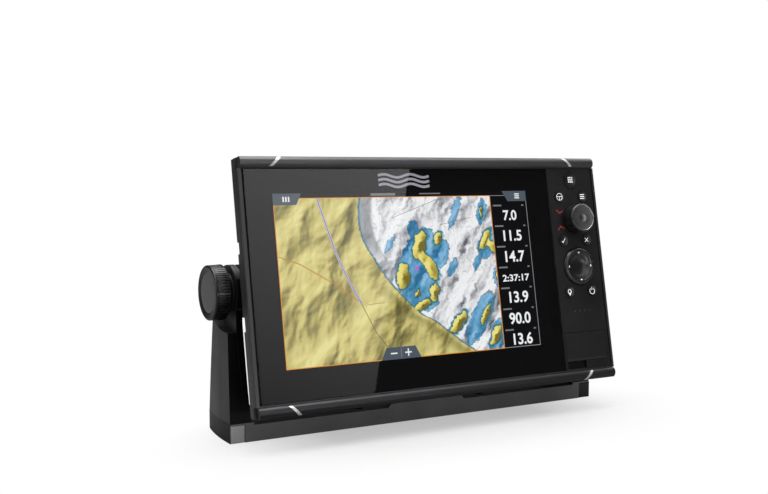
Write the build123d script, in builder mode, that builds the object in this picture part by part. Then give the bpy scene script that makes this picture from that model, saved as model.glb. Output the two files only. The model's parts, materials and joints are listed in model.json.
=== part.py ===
from build123d import *
import os
from math import cos, radians, sin

# Nine-inch marine chartplotter on its tilt bracket. Millimetres, +Z up, +X to the viewer's right,
# the viewer on the -Y side. The origin is the centre of the bracket's screw pattern, on the deck.

# ---- driving dimensions -------------------------------------------------------------------------
# display head, in its own plane: x across, v up the face from the pivot's height, w out of the glass
HEAD_WIDTH = 286.6
HEAD_HEIGHT = 164.4
FRAME_HEIGHT = 164.0
FRAME_DEPTH = 10.0
TILT_BACK = 10.6
PIVOT_Y = -10.8
PIVOT_Z = 96.2
GLASS_TO_PIVOT = 37.1
SCREEN_WIDTH = 199.2
SCREEN_HEIGHT = 112.05
SCREEN_X = -20.65
SCREEN_V = 2.4

# glass, keypad column and the two trim bars
GLASS_LEFT = -139.6
GLASS_RIGHT = 98.5
PANEL_LEFT = 99.1
PANEL_RIGHT = 139.9
FRAME_WALL = 2.2
GROOVE_DEPTH = 1.75
SEAM_W = -3.0
INSET_BOTTOM = -73.9
INSET_TOP = 74.3
INSET_GAP = 0.25
GLASS_THICK = 1.6
MASK_THICK = 0.15
GASKET_THICK = 0.65
LCD_THICK = 2.45
LCD_MARGIN = 5.0
BAR_HALF = 141.9
BAR_HEIGHT = 7.4
BAR_BACK = -4.0
BAR_CROWN = 2.4
SLASH_WIDTH = 1.8
SLASH_X = 117.9
INLAY_THICK = 0.8

# keypad stack
PANEL_THICK = 2.0
MAT_TOP = -2.75
BOARD_TOP = -4.2
BOARD_THICK = 1.6
KEY_R = 4.15
KEY_GAP = 0.3
KEY_FLANGE = 0.8
KEY_TOP = 0.5
KEYS = {
    "helm": (108.35, 53.3),
    "menu": (129.75, 53.3),
    "enter": (107.95, 20.6),
    "exit": (129.65, 20.6),
    "mark": (108.75, -17.2),
    "power": (129.75, -17.2),
}
PAGES_KEY = (120.15, 66.0)
PAGES_R = 5.6
DIAL = (120.55, 36.1)
DIAL_R = 11.0
DIAL_RING_R = 12.2
DIAL_BASE = 1.6
DIAL_TOP = 10.2
SHAFT_R = 3.0
DPAD = (119.85, 1.2)
DPAD_R = 13.7
DPAD_PIN_W = -1.1
RUNNING = 0.05

# card bay and its door
DOOR_LEFT = 100.0
DOOR_RIGHT = 137.6
DOOR_AXIS_V = -48.4
DOOR_BOTTOM = -67.7
DOOR_GAP = 0.3
DOOR_THICK = 2.0
HINGE_PIN_R = 0.6
PIN_OVERHANG = 0.7
SEAL_DEPTH = 2.6
BAY_LEFT = 102.5
BAY_RIGHT = 135.5
BAY_TOP = -50.5
BAY_BOTTOM = -65.5
READER_FACE = -5.2
READER_BACK = -8.6

# rear housing
GASKET_REAR = 0.8
FLANGE_WIDTH = 261.0
FLANGE_HEIGHT = 154.0
FLANGE_THICK = 2.5
HOUSING_WIDTH = 252.0
HOUSING_HEIGHT = 133.0
HOUSING_BACK = -58.0
HOUSING_WALL = 3.0
HOUSING_TAPER = 5.0
FIN_HEIGHT = 3.0
FIN_PITCH = 9.0
FIN_COUNT = 25
SINK_WIDTH = 226.0
SINK_HEIGHT = 80.0
SINK_V = 18.0
CONNECTOR_V = -38.0
BOSS_R = 17.5
BOSS_FACE = 134.6
SCREW_XS = (-122.0, -50.0, 22.0, 94.0)
SCREW_V = 71.8

# tilt bracket
BASE_HALF = 147.35
BASE_FRONT = -28.0
BASE_BACK = 28.0
BASE_HEIGHT = 10.9
RIDGE_HEIGHT = 14.2
RIDGE_HALF = 28.3
ARM_SEAM = 12.6
ARM_OUTER = 147.35
ARM_INNER = 137.2
ARM_PLATE = 4.4
ARM_SHELL_TOP = 80.0
ARM_HEAD_R = 17.6
SCALLOP_R = 43.3
SCALLOP_CENTRE = (-21.0, 114.5)
DECK_SPACING_X = 100.0
DECK_SPACING_Y = 32.0
DECK_HOLE_R = 2.6
POCKET_PITCH = 8.6
ARM_SCREW_X = 139.6
ARM_SCREW_YS = (-16.0, 0.0, 16.0)
CAP_WIDTH = 10.0
CAP_HEIGHT = 11.6
CAP_THICK = 2.4

# tilt knobs, one each side
STUD_R = 2.95
BORE_R = 3.0
KNOB_R = 18.1
KNOB_FACE = 156.0
KNOB_BACK = 143.25
WASHER_BACK = 141.65
WASHER_R = 13.0
KNOB_CAP_R = 13.0
KNOB_RIBS = 60

# ---- reference planes -----------------------------------------------------------------------------
OUTWARD = (0, -cos(radians(TILT_BACK)), sin(radians(TILT_BACK)))
UPWARD = (0, sin(radians(TILT_BACK)), cos(radians(TILT_BACK)))
PIVOT = (0, PIVOT_Y, PIVOT_Z)
GLASS = Plane(origin=PIVOT, x_dir=(1, 0, 0), z_dir=OUTWARD).offset(GLASS_TO_PIVOT)
PROFILE = Plane(origin=GLASS.origin, x_dir=OUTWARD, z_dir=(-1, 0, 0))
KNOB_SECTION = Plane(origin=PIVOT, x_dir=(1, 0, 0), z_dir=(0, -1, 0))
TILT_AXIS = Axis(PIVOT, (1, 0, 0))
DEPTH_AXIS = Axis(GLASS.origin, OUTWARD)


def layer(w):
    """The plane parallel to the glass, w millimetres in front of it."""
    return GLASS.offset(w)


def spin_plane(x, v):
    """A section plane through a control's centre: sketch x is the radius, sketch y is w."""
    return Plane(origin=GLASS.from_local_coords((x, v, 0)), x_dir=(1, 0, 0), z_dir=-GLASS.y_dir)


def spin_axis(x, v):
    """The line through a control's centre, square to the glass."""
    return Axis(GLASS.from_local_coords((x, v, 0)), OUTWARD)


def write(piece, name):
    """Label one finished piece and write its STEP file."""
    piece.part.label = name
    export_step(piece.part, f"parts/{name}.step")


def write_pair(piece, name):
    """Write a right-hand piece and its mirror image on the left."""
    write(piece, f"{name}_right")
    with BuildPart() as twin:
        mirror(piece.part, about=Plane.YZ)
    write(twin, f"{name}_left")


def block(left, right, bottom, top, back, front, mode=Mode.ADD):
    """A block of the head between two x, two v and two w values."""
    with BuildSketch(layer(back)) as outline:
        with Locations(((left + right) / 2, (bottom + top) / 2)):
            Rectangle(right - left, top - bottom)
    extrude(outline.sketch, amount=front - back, mode=mode)


def disc(x, v, radius, back, front, mode=Mode.ADD):
    """A round of the head, from one w to another."""
    with BuildSketch(layer(back)) as outline:
        with Locations((x, v)):
            Circle(radius)
    extrude(outline.sketch, amount=front - back, mode=mode)


def rod(radius, start, end, mode=Mode.ADD):
    """A round bar on the tilt axis between two x values."""
    with BuildSketch(Plane(origin=(start, PIVOT_Y, PIVOT_Z), z_dir=(1, 0, 0))) as outline:
        Circle(radius)
    extrude(outline.sketch, amount=end - start, mode=mode)


os.makedirs("parts", exist_ok=True)

# ---- tilt bracket ---------------------------------------------------------------------------------
# deck base: bowed ends, a raised centre ridge, counterbored deck screws and ribs underneath
with BuildSketch() as base_outline:
    with BuildLine():
        Line((-BASE_HALF, BASE_FRONT), (BASE_HALF, BASE_FRONT))
        ThreePointArc((BASE_HALF, BASE_FRONT), (146.5, 2.5), (142.0, BASE_BACK))
        Line((142.0, BASE_BACK), (-142.0, BASE_BACK))
        ThreePointArc((-142.0, BASE_BACK), (-146.5, 2.5), (-BASE_HALF, BASE_FRONT))
    make_face()
    fillet(base_outline.vertices().group_by(Axis.Y)[-1], 9)

CAP_X = BASE_HALF - CAP_WIDTH / 2
with BuildPart() as bracket_base:
    extrude(base_outline.sketch, amount=ARM_SEAM)
    with BuildSketch(Plane.XY.offset(BASE_HEIGHT)):
        Rectangle(2 * 131.0, 2 * BASE_BACK)
    extrude(amount=ARM_SEAM - BASE_HEIGHT, mode=Mode.SUBTRACT)
    with BuildSketch(Plane.XZ.offset(-BASE_FRONT)):
        with BuildLine():
            Polyline(
                (-RIDGE_HALF - 3, BASE_HEIGHT),
                (-RIDGE_HALF, RIDGE_HEIGHT),
                (RIDGE_HALF, RIDGE_HEIGHT),
                (RIDGE_HALF + 3, BASE_HEIGHT),
                close=True,
            )
        make_face()
    extrude(amount=-14)
    with Locations(Plane.XY.offset(BASE_HEIGHT)):
        with GridLocations(DECK_SPACING_X, DECK_SPACING_Y, 2, 2):
            CounterBoreHole(DECK_HOLE_R, 5.2, 4.0)
    with BuildSketch():
        with GridLocations(2 * 88.0, 24.0, 2, 2):
            with GridLocations(POCKET_PITCH, 1, 6, 1):
                RectangleRounded(POCKET_PITCH - 1.8, 18, 2)
    extrude(amount=7, mode=Mode.SUBTRACT)
    with BuildSketch():
        with GridLocations(2 * 122.0, 34.0, 2, 2):
            Circle(7)
    extrude(amount=1, mode=Mode.SUBTRACT)
    for side in (-1, 1):
        for screw_y in ARM_SCREW_YS:
            with Locations(Plane(origin=(side * ARM_SCREW_X, screw_y, 0), z_dir=(0, 0, -1))):
                CounterBoreHole(2.6, 4.6, 5.0)
    with BuildSketch(Plane.XZ.offset(-BASE_FRONT)):
        with Locations((CAP_X, CAP_HEIGHT / 2), (-CAP_X, CAP_HEIGHT / 2)):
            Rectangle(CAP_WIDTH, CAP_HEIGHT)
    extrude(amount=-CAP_THICK, mode=Mode.SUBTRACT)
write(bracket_base, "bracket_base")

# glossy caps let into the base's two front corners
with BuildPart() as base_caps:
    with BuildSketch(Plane.XZ.offset(-BASE_FRONT - CAP_THICK)):
        with Locations((CAP_X, CAP_HEIGHT / 2), (-CAP_X, CAP_HEIGHT / 2)):
            Rectangle(CAP_WIDTH - 0.1, CAP_HEIGHT - 0.1)
    extrude(amount=CAP_THICK)
    chamfer(base_caps.edges().group_by(Axis.Y)[0], 0.4)
write(base_caps, "base_caps")

# soft pads that sit flush in the base's underside
with BuildPart() as base_pads:
    with BuildSketch():
        with GridLocations(2 * 122.0, 34.0, 2, 2):
            Circle(7)
    extrude(amount=1)
write(base_pads, "base_pads")

# outer shell of one arm, which stops in a scallop under the knob
with BuildPart() as arm_shell:
    with BuildSketch(Plane.XZ):
        with BuildLine():
            Polyline(
                (ARM_OUTER, ARM_SEAM),
                (ARM_OUTER, ARM_SHELL_TOP),
                (ARM_INNER + ARM_PLATE, ARM_SHELL_TOP),
                (ARM_INNER + ARM_PLATE - 0.6, 66.0),
                (136.0, ARM_SEAM),
                close=True,
            )
        make_face()
    extrude(amount=40, both=True)
    with BuildSketch(Plane.YZ):
        with BuildLine():
            ThreePointArc((-27.2, ARM_SEAM), (-25.8, 43.0), (-24.5, ARM_SHELL_TOP))
            Line((-24.5, ARM_SHELL_TOP), (5.0, ARM_SHELL_TOP))
            Line((5.0, ARM_SHELL_TOP), (21.0, ARM_SEAM))
            Line((21.0, ARM_SEAM), (-27.2, ARM_SEAM))
        make_face()
        with Locations(SCALLOP_CENTRE):
            Circle(SCALLOP_R, mode=Mode.SUBTRACT)
    extrude(amount=200, mode=Mode.INTERSECT)
    extrude(base_outline.sketch, amount=ARM_SHELL_TOP, mode=Mode.INTERSECT)

# one arm: the plate with its round head, its shell, the pivot bore and the blind screw holes
with BuildPart() as bracket_arm:
    with BuildSketch(Plane.XZ):
        with BuildLine():
            Polyline(
                (136.9, ARM_SEAM),
                (ARM_INNER + ARM_PLATE, 72.0),
                (ARM_INNER + ARM_PLATE, 120.0),
                (ARM_INNER, 120.0),
                (ARM_INNER, 77.0),
                (134.75, 36.4),
                (132.9, ARM_SEAM),
                close=True,
            )
        make_face()
    extrude(amount=40, both=True)
    with BuildSketch(Plane.YZ) as arm_side:
        with BuildLine():
            ThreePointArc((-27.6, ARM_SEAM), (-26.2, 43.0), (-24.9, ARM_SHELL_TOP))
            Line((-24.9, ARM_SHELL_TOP), (-24.9, 86.0))
            Line((-24.9, 86.0), (PIVOT_Y, PIVOT_Z))
            Line((PIVOT_Y, PIVOT_Z), (8.3, 98.2))
            Line((8.3, 98.2), (14.2, 73.4))
            Line((14.2, 73.4), (23.6, ARM_SEAM))
            Line((23.6, ARM_SEAM), (-27.6, ARM_SEAM))
        make_face()
        with Locations((PIVOT_Y, PIVOT_Z)):
            Circle(ARM_HEAD_R)
    extrude(amount=200, mode=Mode.INTERSECT)
    add(arm_shell.part)
    rod(BORE_R, ARM_INNER - 1, ARM_OUTER, mode=Mode.SUBTRACT)
    for screw_y in ARM_SCREW_YS:
        with BuildSketch(Plane.XY.offset(ARM_SEAM)):
            with Locations((ARM_SCREW_X, screw_y)):
                Circle(2.5)
        extrude(amount=11, mode=Mode.SUBTRACT)
write_pair(bracket_arm, "bracket_arm")

# socket screws that hold the arms down, put in from under the base
with BuildPart() as arm_screws:
    for side in (-1, 1):
        for screw_y in ARM_SCREW_YS:
            centre = (side * ARM_SCREW_X, screw_y)
            with BuildSketch(Plane.XY.offset(0.9)):
                with Locations(centre):
                    Circle(4.4)
                    RegularPolygon(2.3, 6, mode=Mode.SUBTRACT)
            extrude(amount=2.4)
            with BuildSketch(Plane.XY.offset(3.3)):
                with Locations(centre):
                    Circle(4.4)
            extrude(amount=1.7)
            with BuildSketch(Plane.XY.offset(5.0)):
                with Locations(centre):
                    Circle(2.5)
            extrude(amount=17)
write(arm_screws, "arm_screws")


def ratchet(face, back, radius, bore):
    """A disc on the tilt axis whose toothed face, at x = face, is cut with radial V grooves."""
    step = 1 if face > back else -1
    rod(radius, back, face)
    rod(bore, back - step, face + step, mode=Mode.SUBTRACT)
    ring = Plane(origin=(face, PIVOT_Y, PIVOT_Z), x_dir=(0, 1, 0), z_dir=(step, 0, 0))
    with BuildSketch(ring) as grooves:
        with PolarLocations((radius + bore + 2) / 2, 24):
            Rectangle(radius - bore - 2, 0.9)
    extrude(grooves.sketch, amount=-0.45, mode=Mode.SUBTRACT)


with BuildPart() as bracket_ratchets:
    ratchet(ARM_INNER - 1.2, ARM_INNER, 15.0, 3.6)
    ratchet(1.2 - ARM_INNER, -ARM_INNER, 15.0, 3.6)
write(bracket_ratchets, "bracket_ratchets")

# ---- tilt knobs -----------------------------------------------------------------------------------
# moulded-in bolt of the knob, which screws into the head's brass insert
with BuildPart() as knob_stud:
    rod(STUD_R, 119.6, 148.0)
    with BuildSketch(Plane(origin=(148.0, PIVOT_Y, PIVOT_Z), z_dir=(1, 0, 0))):
        RegularPolygon(5.6, 6)
    extrude(amount=4)
    chamfer(knob_stud.edges().group_by(Axis.X)[0], 0.6)
write_pair(knob_stud, "knob_stud")

# ribbed grip, waisted at the back and recessed at the front for its cap
with BuildPart() as knob_grip:
    with BuildSketch(KNOB_SECTION):
        with BuildLine():
            Line((KNOB_BACK, 0), (KNOB_BACK, 13.4))
            Line((KNOB_BACK, 13.4), (145.0, 13.4))
            Line((145.0, 13.4), (145.6, 17.3))
            ThreePointArc((145.6, 17.3), (146.0, 18.0), (146.8, KNOB_R))
            Line((146.8, KNOB_R), (154.2, KNOB_R - 0.3))
            ThreePointArc((154.2, KNOB_R - 0.3), (155.4, 17.6), (155.8, 16.6))
            Line((155.8, 16.6), (155.2, KNOB_CAP_R + 0.1))
            Line((155.2, KNOB_CAP_R + 0.1), (154.4, KNOB_CAP_R + 0.1))
            Line((154.4, KNOB_CAP_R + 0.1), (154.4, 0))
            Line((154.4, 0), (KNOB_BACK, 0))
        make_face()
    revolve(axis=TILT_AXIS)
    groove_plane = Plane(origin=(145.8, PIVOT_Y, PIVOT_Z), x_dir=(0, 1, 0), z_dir=(1, 0, 0))
    with BuildSketch(groove_plane):
        with PolarLocations(KNOB_R + 0.25, KNOB_RIBS):
            Circle(0.6)
    extrude(amount=8.4, mode=Mode.SUBTRACT)
    add(knob_stud.part, mode=Mode.SUBTRACT)
write_pair(knob_grip, "knob_grip")

# slightly domed disc pressed into the grip's face
with BuildPart() as knob_cap:
    with BuildSketch(KNOB_SECTION):
        with BuildLine():
            Line((154.4, 0), (154.4, KNOB_CAP_R))
            Line((154.4, KNOB_CAP_R), (155.2, KNOB_CAP_R))
            ThreePointArc((155.2, KNOB_CAP_R), (155.8, 7.0), (KNOB_FACE, 1.0))
            Line((KNOB_FACE, 1.0), (KNOB_FACE, 0))
            Line((KNOB_FACE, 0), (154.4, 0))
        make_face()
    revolve(axis=TILT_AXIS)
write_pair(knob_cap, "knob_cap")

# thrust washer between the grip and the arm
with BuildPart() as knob_washer:
    rod(WASHER_R, WASHER_BACK, KNOB_BACK - 0.05)
    rod(BORE_R, WASHER_BACK - 1, KNOB_BACK, mode=Mode.SUBTRACT)
    chamfer(knob_washer.edges().sort_by(Axis.X).filter_by(GeomType.CIRCLE).sort_by(SortBy.RADIUS)[-2:], 0.4)
write_pair(knob_washer, "knob_washer")

# ---- front of the head ----------------------------------------------------------------------------
lcd_left = SCREEN_X - SCREEN_WIDTH / 2 - LCD_MARGIN
lcd_right = SCREEN_X + SCREEN_WIDTH / 2 + LCD_MARGIN
lcd_bottom = SCREEN_V - SCREEN_HEIGHT / 2 - LCD_MARGIN
lcd_top = SCREEN_V + SCREEN_HEIGHT / 2 + LCD_MARGIN
glass_back = -GLASS_THICK
mask_back = glass_back - MASK_THICK
ledge = mask_back - GASKET_THICK
board_back = BOARD_TOP - BOARD_THICK
pocket_floor = board_back - 0.4

# moulded bezel frame: glass pocket, keypad pocket, card bay and the two shelves for the trim bars
with BuildPart() as front_frame:
    with BuildSketch(layer(-FRAME_DEPTH)):
        RectangleRounded(HEAD_WIDTH, FRAME_HEIGHT, 1.0)
    extrude(amount=FRAME_DEPTH)
    chamfer(front_frame.edges().group_by(DEPTH_AXIS)[0], 0.6)
    chamfer(front_frame.edges().group_by(DEPTH_AXIS)[-1], 0.4)
    for side in (-1, 1):
        edge_v = side * (HEAD_HEIGHT / 2 - BAR_HEIGHT)
        block(-150, 150, min(edge_v, side * 90), max(edge_v, side * 90), BAR_BACK, 5, mode=Mode.SUBTRACT)
        for notch_v, notch_height in ((25.0, 7.5), (-23.1, 9.0)):
            with BuildSketch(layer(-FRAME_DEPTH)):
                with Locations((side * HEAD_WIDTH / 2, notch_v)):
                    Rectangle(2.8, notch_height)
            extrude(amount=3, mode=Mode.SUBTRACT)
        seam_x = side * HEAD_WIDTH / 2
        seam_inner = seam_x - side * 0.4
        block(min(seam_x, seam_inner), max(seam_x, seam_inner), -90, 90, SEAM_W, SEAM_W + 0.5,
              mode=Mode.SUBTRACT)
        groove_edge = side * (HEAD_WIDTH / 2 - FRAME_WALL)
        block(min(groove_edge, side * 130), max(groove_edge, side * 130), INSET_BOTTOM - INSET_GAP,
              INSET_TOP + INSET_GAP, -GROOVE_DEPTH, 5, mode=Mode.SUBTRACT)
    block(GLASS_LEFT - INSET_GAP, GLASS_RIGHT + INSET_GAP, INSET_BOTTOM - INSET_GAP, INSET_TOP + INSET_GAP,
          ledge, 5, mode=Mode.SUBTRACT)
    block(lcd_left - 1.3, lcd_right + 1.3, lcd_bottom - 1.3, lcd_top + 1.3, -12, 0, mode=Mode.SUBTRACT)
    block(PANEL_LEFT - 0.1, PANEL_RIGHT + INSET_GAP, INSET_BOTTOM - INSET_GAP, INSET_TOP + INSET_GAP,
          -PANEL_THICK, 5, mode=Mode.SUBTRACT)
    block(101.4, 137.7, -45.0, 73.4, pocket_floor, 0, mode=Mode.SUBTRACT)
    block(DIAL[0] - 6.3, DIAL[0] + 6.3, DIAL[1] - 6.3, DIAL[1] + 6.3, -12, 0, mode=Mode.SUBTRACT)
    block(BAY_LEFT, BAY_RIGHT, BAY_BOTTOM, BAY_TOP, READER_BACK, 0, mode=Mode.SUBTRACT)
    for side in (-1, 1):
        for screw_x in SCREW_XS:
            disc(screw_x, side * SCREW_V, 1.5, -FRAME_DEPTH - 1, BAR_BACK - 1, mode=Mode.SUBTRACT)
write(front_frame, "front_frame")

# toughened cover glass
with BuildPart() as cover_glass:
    block(GLASS_LEFT, GLASS_RIGHT, INSET_BOTTOM, INSET_TOP, glass_back, 0)
    chamfer(cover_glass.edges().group_by(DEPTH_AXIS)[-1], 0.25)
write(cover_glass, "cover_glass")

# black printed border behind the glass, open over the active area
with BuildPart() as glass_mask:
    block(GLASS_LEFT, GLASS_RIGHT, INSET_BOTTOM, INSET_TOP, mask_back, glass_back)
    with BuildSketch(layer(-5)):
        with Locations((SCREEN_X, SCREEN_V)):
            Rectangle(SCREEN_WIDTH, SCREEN_HEIGHT)
    extrude(amount=5, mode=Mode.SUBTRACT)
write(glass_mask, "glass_mask")

# adhesive foam that seals the glass to the frame's ledge
with BuildPart() as glass_gasket:
    block(GLASS_LEFT, GLASS_RIGHT, INSET_BOTTOM, INSET_TOP, ledge, mask_back)
    block(lcd_left - 1.3, lcd_right + 1.3, lcd_bottom - 1.3, lcd_top + 1.3, -5, 0, mode=Mode.SUBTRACT)
write(glass_gasket, "glass_gasket")

# liquid-crystal panel, and the backlight tray behind it
with BuildPart() as lcd_panel:
    block(lcd_left, lcd_right, lcd_bottom, lcd_top, mask_back - LCD_THICK, mask_back)
write(lcd_panel, "lcd_panel")

tray_front = mask_back - LCD_THICK
with BuildPart() as lcd_chassis:
    block(lcd_left - 0.9, lcd_right + 0.9, lcd_bottom - 0.9, lcd_top + 0.9, 0.6 - FRAME_DEPTH, tray_front)
    with BuildSketch(layer(0.6 - FRAME_DEPTH)):
        with Locations((SCREEN_X, SCREEN_V)):
            with GridLocations(48, 52, 4, 2):
                RectangleRounded(40, 44, 4)
    extrude(amount=1.5, mode=Mode.SUBTRACT)
write(lcd_chassis, "lcd_chassis")

# ---- trim bars ------------------------------------------------------------------------------------
bar_edge = HEAD_HEIGHT / 2 - BAR_HEIGHT


def bar(side, skin, mode=Mode.ADD):
    """A full-width trim bar above (side 1) or below (side -1) the glass, its section inset by skin."""
    inner = side * (bar_edge + skin)
    outer = side * (HEAD_HEIGHT / 2 - skin)
    crown = (BAR_CROWN - skin, side * (HEAD_HEIGHT / 2 - BAR_HEIGHT / 2 - 0.4))
    with BuildSketch(PROFILE) as section:
        with BuildLine():
            Line((BAR_BACK, inner), (-0.4, inner))
            ThreePointArc((-0.4, inner), crown, (0.2, outer))
            Line((0.2, outer), (BAR_BACK, outer))
            Line((BAR_BACK, outer), (BAR_BACK, inner))
        make_face()
    extrude(section.sketch, amount=BAR_HALF, both=True, mode=mode)


def slash_bands(mode):
    """Four slanted bands across the bars' ends, square to the glass."""
    middle = HEAD_HEIGHT / 2 - BAR_HEIGHT / 2
    with BuildSketch(layer(-20)) as bands:
        for side_x in (-1, 1):
            for side_v in (-1, 1):
                with Locations((side_x * SLASH_X, side_v * middle)):
                    Rectangle(SLASH_WIDTH, 20, rotation=side_x * side_v * 45)
    extrude(bands.sketch, amount=40, mode=mode)


# silver inlays let flush into the bars
with BuildPart() as trim_inlays:
    for side in (-1, 1):
        bar(side, 0)
    slash_bands(Mode.INTERSECT)
    for side in (-1, 1):
        bar(side, INLAY_THICK, mode=Mode.SUBTRACT)
    block(-150, 150, -bar_edge - 0.9, bar_edge + 0.9, -20, 20, mode=Mode.SUBTRACT)
    for side in (-1, 1):
        edge_v = side * (HEAD_HEIGHT / 2 - INLAY_THICK)
        block(-150, 150, min(edge_v, side * 90), max(edge_v, side * 90), -20, 0.1, mode=Mode.SUBTRACT)
    block(-150, 150, -90, 90, -20, BAR_BACK + INLAY_THICK, mode=Mode.SUBTRACT)
write(trim_inlays, "trim_inlays")

with BuildPart() as trim_bars:
    for side in (-1, 1):
        bar(side, 0)
    for side_x in (-1, 1):
        for side_v in (-1, 1):
            with BuildSketch(layer(-20)):
                with BuildLine():
                    tip = side_x * BAR_HALF
                    Polyline(
                        (tip, side_v * 90),
                        (tip - side_x * 0.5, side_v * 90),
                        (tip, side_v * bar_edge),
                        close=True,
                    )
                make_face()
            extrude(amount=40, mode=Mode.SUBTRACT)
    add(trim_inlays.part, mode=Mode.SUBTRACT)
write(trim_bars, "trim_bars")

# ---- keypad ---------------------------------------------------------------------------------------


def shield(size, back, front, mode=Mode.ADD):
    """A prism in the pages key's shield outline: a ridged top and a rounded foot."""
    x, v = PAGES_KEY
    with BuildSketch(layer(back)) as outline:
        with BuildLine():
            Polyline(
                (x - size, v - 0.35 * size),
                (x - size, v + 0.55 * size),
                (x, v + 1.15 * size),
                (x + size, v + 0.55 * size),
                (x + size, v - 0.35 * size),
            )
            ThreePointArc((x + size, v - 0.35 * size), (x, v - 1.2 * size), (x - size, v - 0.35 * size))
        make_face()
    extrude(outline.sketch, amount=front - back, mode=mode)


# satin panel of the keypad column, with the dial's raised ring and the finger recess under the door
with BuildPart() as keypad_panel:
    block(PANEL_LEFT, PANEL_RIGHT, INSET_BOTTOM, INSET_TOP, -PANEL_THICK, 0)
    disc(*DIAL, DIAL_RING_R, 0, 0.7)
    for key_x, key_v in KEYS.values():
        disc(key_x, key_v, KEY_R + KEY_GAP, -5, 5, mode=Mode.SUBTRACT)
    shield(PAGES_R + KEY_GAP, -5, 5, mode=Mode.SUBTRACT)
    disc(*DIAL, SHAFT_R + 1.5, -5, 5, mode=Mode.SUBTRACT)
    disc(*DPAD, DPAD_R + 0.5, -5, 5, mode=Mode.SUBTRACT)
    block(DOOR_LEFT - DOOR_GAP, DOOR_RIGHT + DOOR_GAP, DOOR_BOTTOM - DOOR_GAP,
          DOOR_AXIS_V + DOOR_THICK / 2 + DOOR_GAP, -5, 5, mode=Mode.SUBTRACT)
    block(100.4, 117.4, INSET_BOTTOM + 0.6, DOOR_BOTTOM, -1.4, 5, mode=Mode.SUBTRACT)
    with BuildSketch(PROFILE):
        with Locations((-DOOR_THICK / 2, DOOR_AXIS_V)):
            Circle(HINGE_PIN_R)
    extrude(amount=-(DOOR_RIGHT + PIN_OVERHANG + RUNNING), mode=Mode.SUBTRACT)
write(keypad_panel, "keypad_panel")

# silicone mat with an open well under each key
with BuildPart() as keypad_mat:
    block(101.7, 137.4, -44.6, 73.1, BOARD_TOP, MAT_TOP)
    for key_x, key_v in KEYS.values():
        disc(key_x, key_v, KEY_R + KEY_FLANGE + 0.4, -5, 5, mode=Mode.SUBTRACT)
    shield(PAGES_R + KEY_FLANGE + 0.4, -5, 5, mode=Mode.SUBTRACT)
    disc(*DIAL, 4.4, -5, 5, mode=Mode.SUBTRACT)
write(keypad_mat, "keypad_mat")

# keypad circuit board with a snap dome under each key
with BuildPart() as keypad_board:
    block(101.7, 137.4, -44.6, 73.1, board_back, BOARD_TOP)
    for key_x, key_v in [*KEYS.values(), PAGES_KEY]:
        disc(key_x, key_v, 2.0, BOARD_TOP, -3.6)
    disc(*DIAL, 4.2, -8, 0, mode=Mode.SUBTRACT)
write(keypad_board, "keypad_board")

for key_name, (key_x, key_v) in KEYS.items():
    # round key, dished on top, held behind the panel by its flange
    with BuildPart() as key:
        disc(key_x, key_v, KEY_R, -2.05, KEY_TOP)
        disc(key_x, key_v, KEY_R + KEY_FLANGE, -2.7, -2.05)
        with Locations(GLASS.from_local_coords((key_x, key_v, 18.1))):
            Sphere(18.0, mode=Mode.SUBTRACT)
    write(key, f"key_{key_name}")

with BuildPart() as key_pages:
    shield(PAGES_R, -2.05, KEY_TOP)
    shield(PAGES_R + KEY_FLANGE, -2.7, -2.05)
    with Locations(GLASS.from_local_coords((*PAGES_KEY, 28.1))):
        Sphere(28.0, mode=Mode.SUBTRACT)
write(key_pages, "key_pages")


def rocker_pin(radius, w, mode=Mode.ADD):
    """A round pin up the face under the four-way pad, on which it rocks sideways."""
    foot = GLASS.from_local_coords((DPAD[0], DPAD[1] - 5, w))
    with BuildSketch(Plane(origin=foot, z_dir=UPWARD)) as outline:
        Circle(radius)
    extrude(outline.sketch, amount=10, mode=mode)


# four-way pad: a rounded rim round a dished centre, over its gimbal
with BuildPart() as dpad:
    with BuildSketch(spin_plane(*DPAD)):
        with BuildLine():
            Line((0, -1.05), (1.2, -1.05))
            Line((1.2, -1.05), (1.2, -0.7))
            Line((1.2, -0.7), (DPAD_R, -0.7))
            Line((DPAD_R, -0.7), (DPAD_R, 0.4))
            ThreePointArc((DPAD_R, 0.4), (12.2, 1.9), (10.2, 1.5))
            ThreePointArc((10.2, 1.5), (8.2, 1.1), (6.4, 0.2))
            ThreePointArc((6.4, 0.2), (4.0, -0.25), (1.0, -0.4))
            Line((1.0, -0.4), (0, -0.4))
            Line((0, -0.4), (0, -1.05))
        make_face()
    revolve(axis=spin_axis(*DPAD))
    rocker_pin(0.35, DPAD_PIN_W)
write(dpad, "dpad")

with BuildPart() as dpad_gimbal:
    disc(*DPAD, 5.4, -2.2, -1.15)
    with BuildSketch(Plane(origin=GLASS.from_local_coords((DPAD[0] - 7, DPAD[1], -1.6)), z_dir=(1, 0, 0))):
        Circle(0.5)
    extrude(amount=14)
    rocker_pin(0.35 + RUNNING, DPAD_PIN_W, mode=Mode.SUBTRACT)
write(dpad_gimbal, "dpad_gimbal")

# ---- rotary dial ----------------------------------------------------------------------------------
with BuildPart() as encoder_body:
    block(DIAL[0] - 6, DIAL[0] + 6, DIAL[1] - 6, DIAL[1] + 6, 0.1 - FRAME_DEPTH, board_back)
    disc(*DIAL, 4.1, board_back, -0.8)
    disc(*DIAL, 3.4, -9.5, board_back - 0.2, mode=Mode.SUBTRACT)
    disc(*DIAL, SHAFT_R + RUNNING, board_back - 0.2, 0, mode=Mode.SUBTRACT)
write(encoder_body, "encoder_body")

with BuildPart() as encoder_plunger:
    disc(*DIAL, 3.0, -8.4, -6.55)
write(encoder_plunger, "encoder_plunger")

with BuildPart() as encoder_shaft:
    disc(*DIAL, SHAFT_R, -6.5, 7.0)
write(encoder_shaft, "encoder_shaft")

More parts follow.
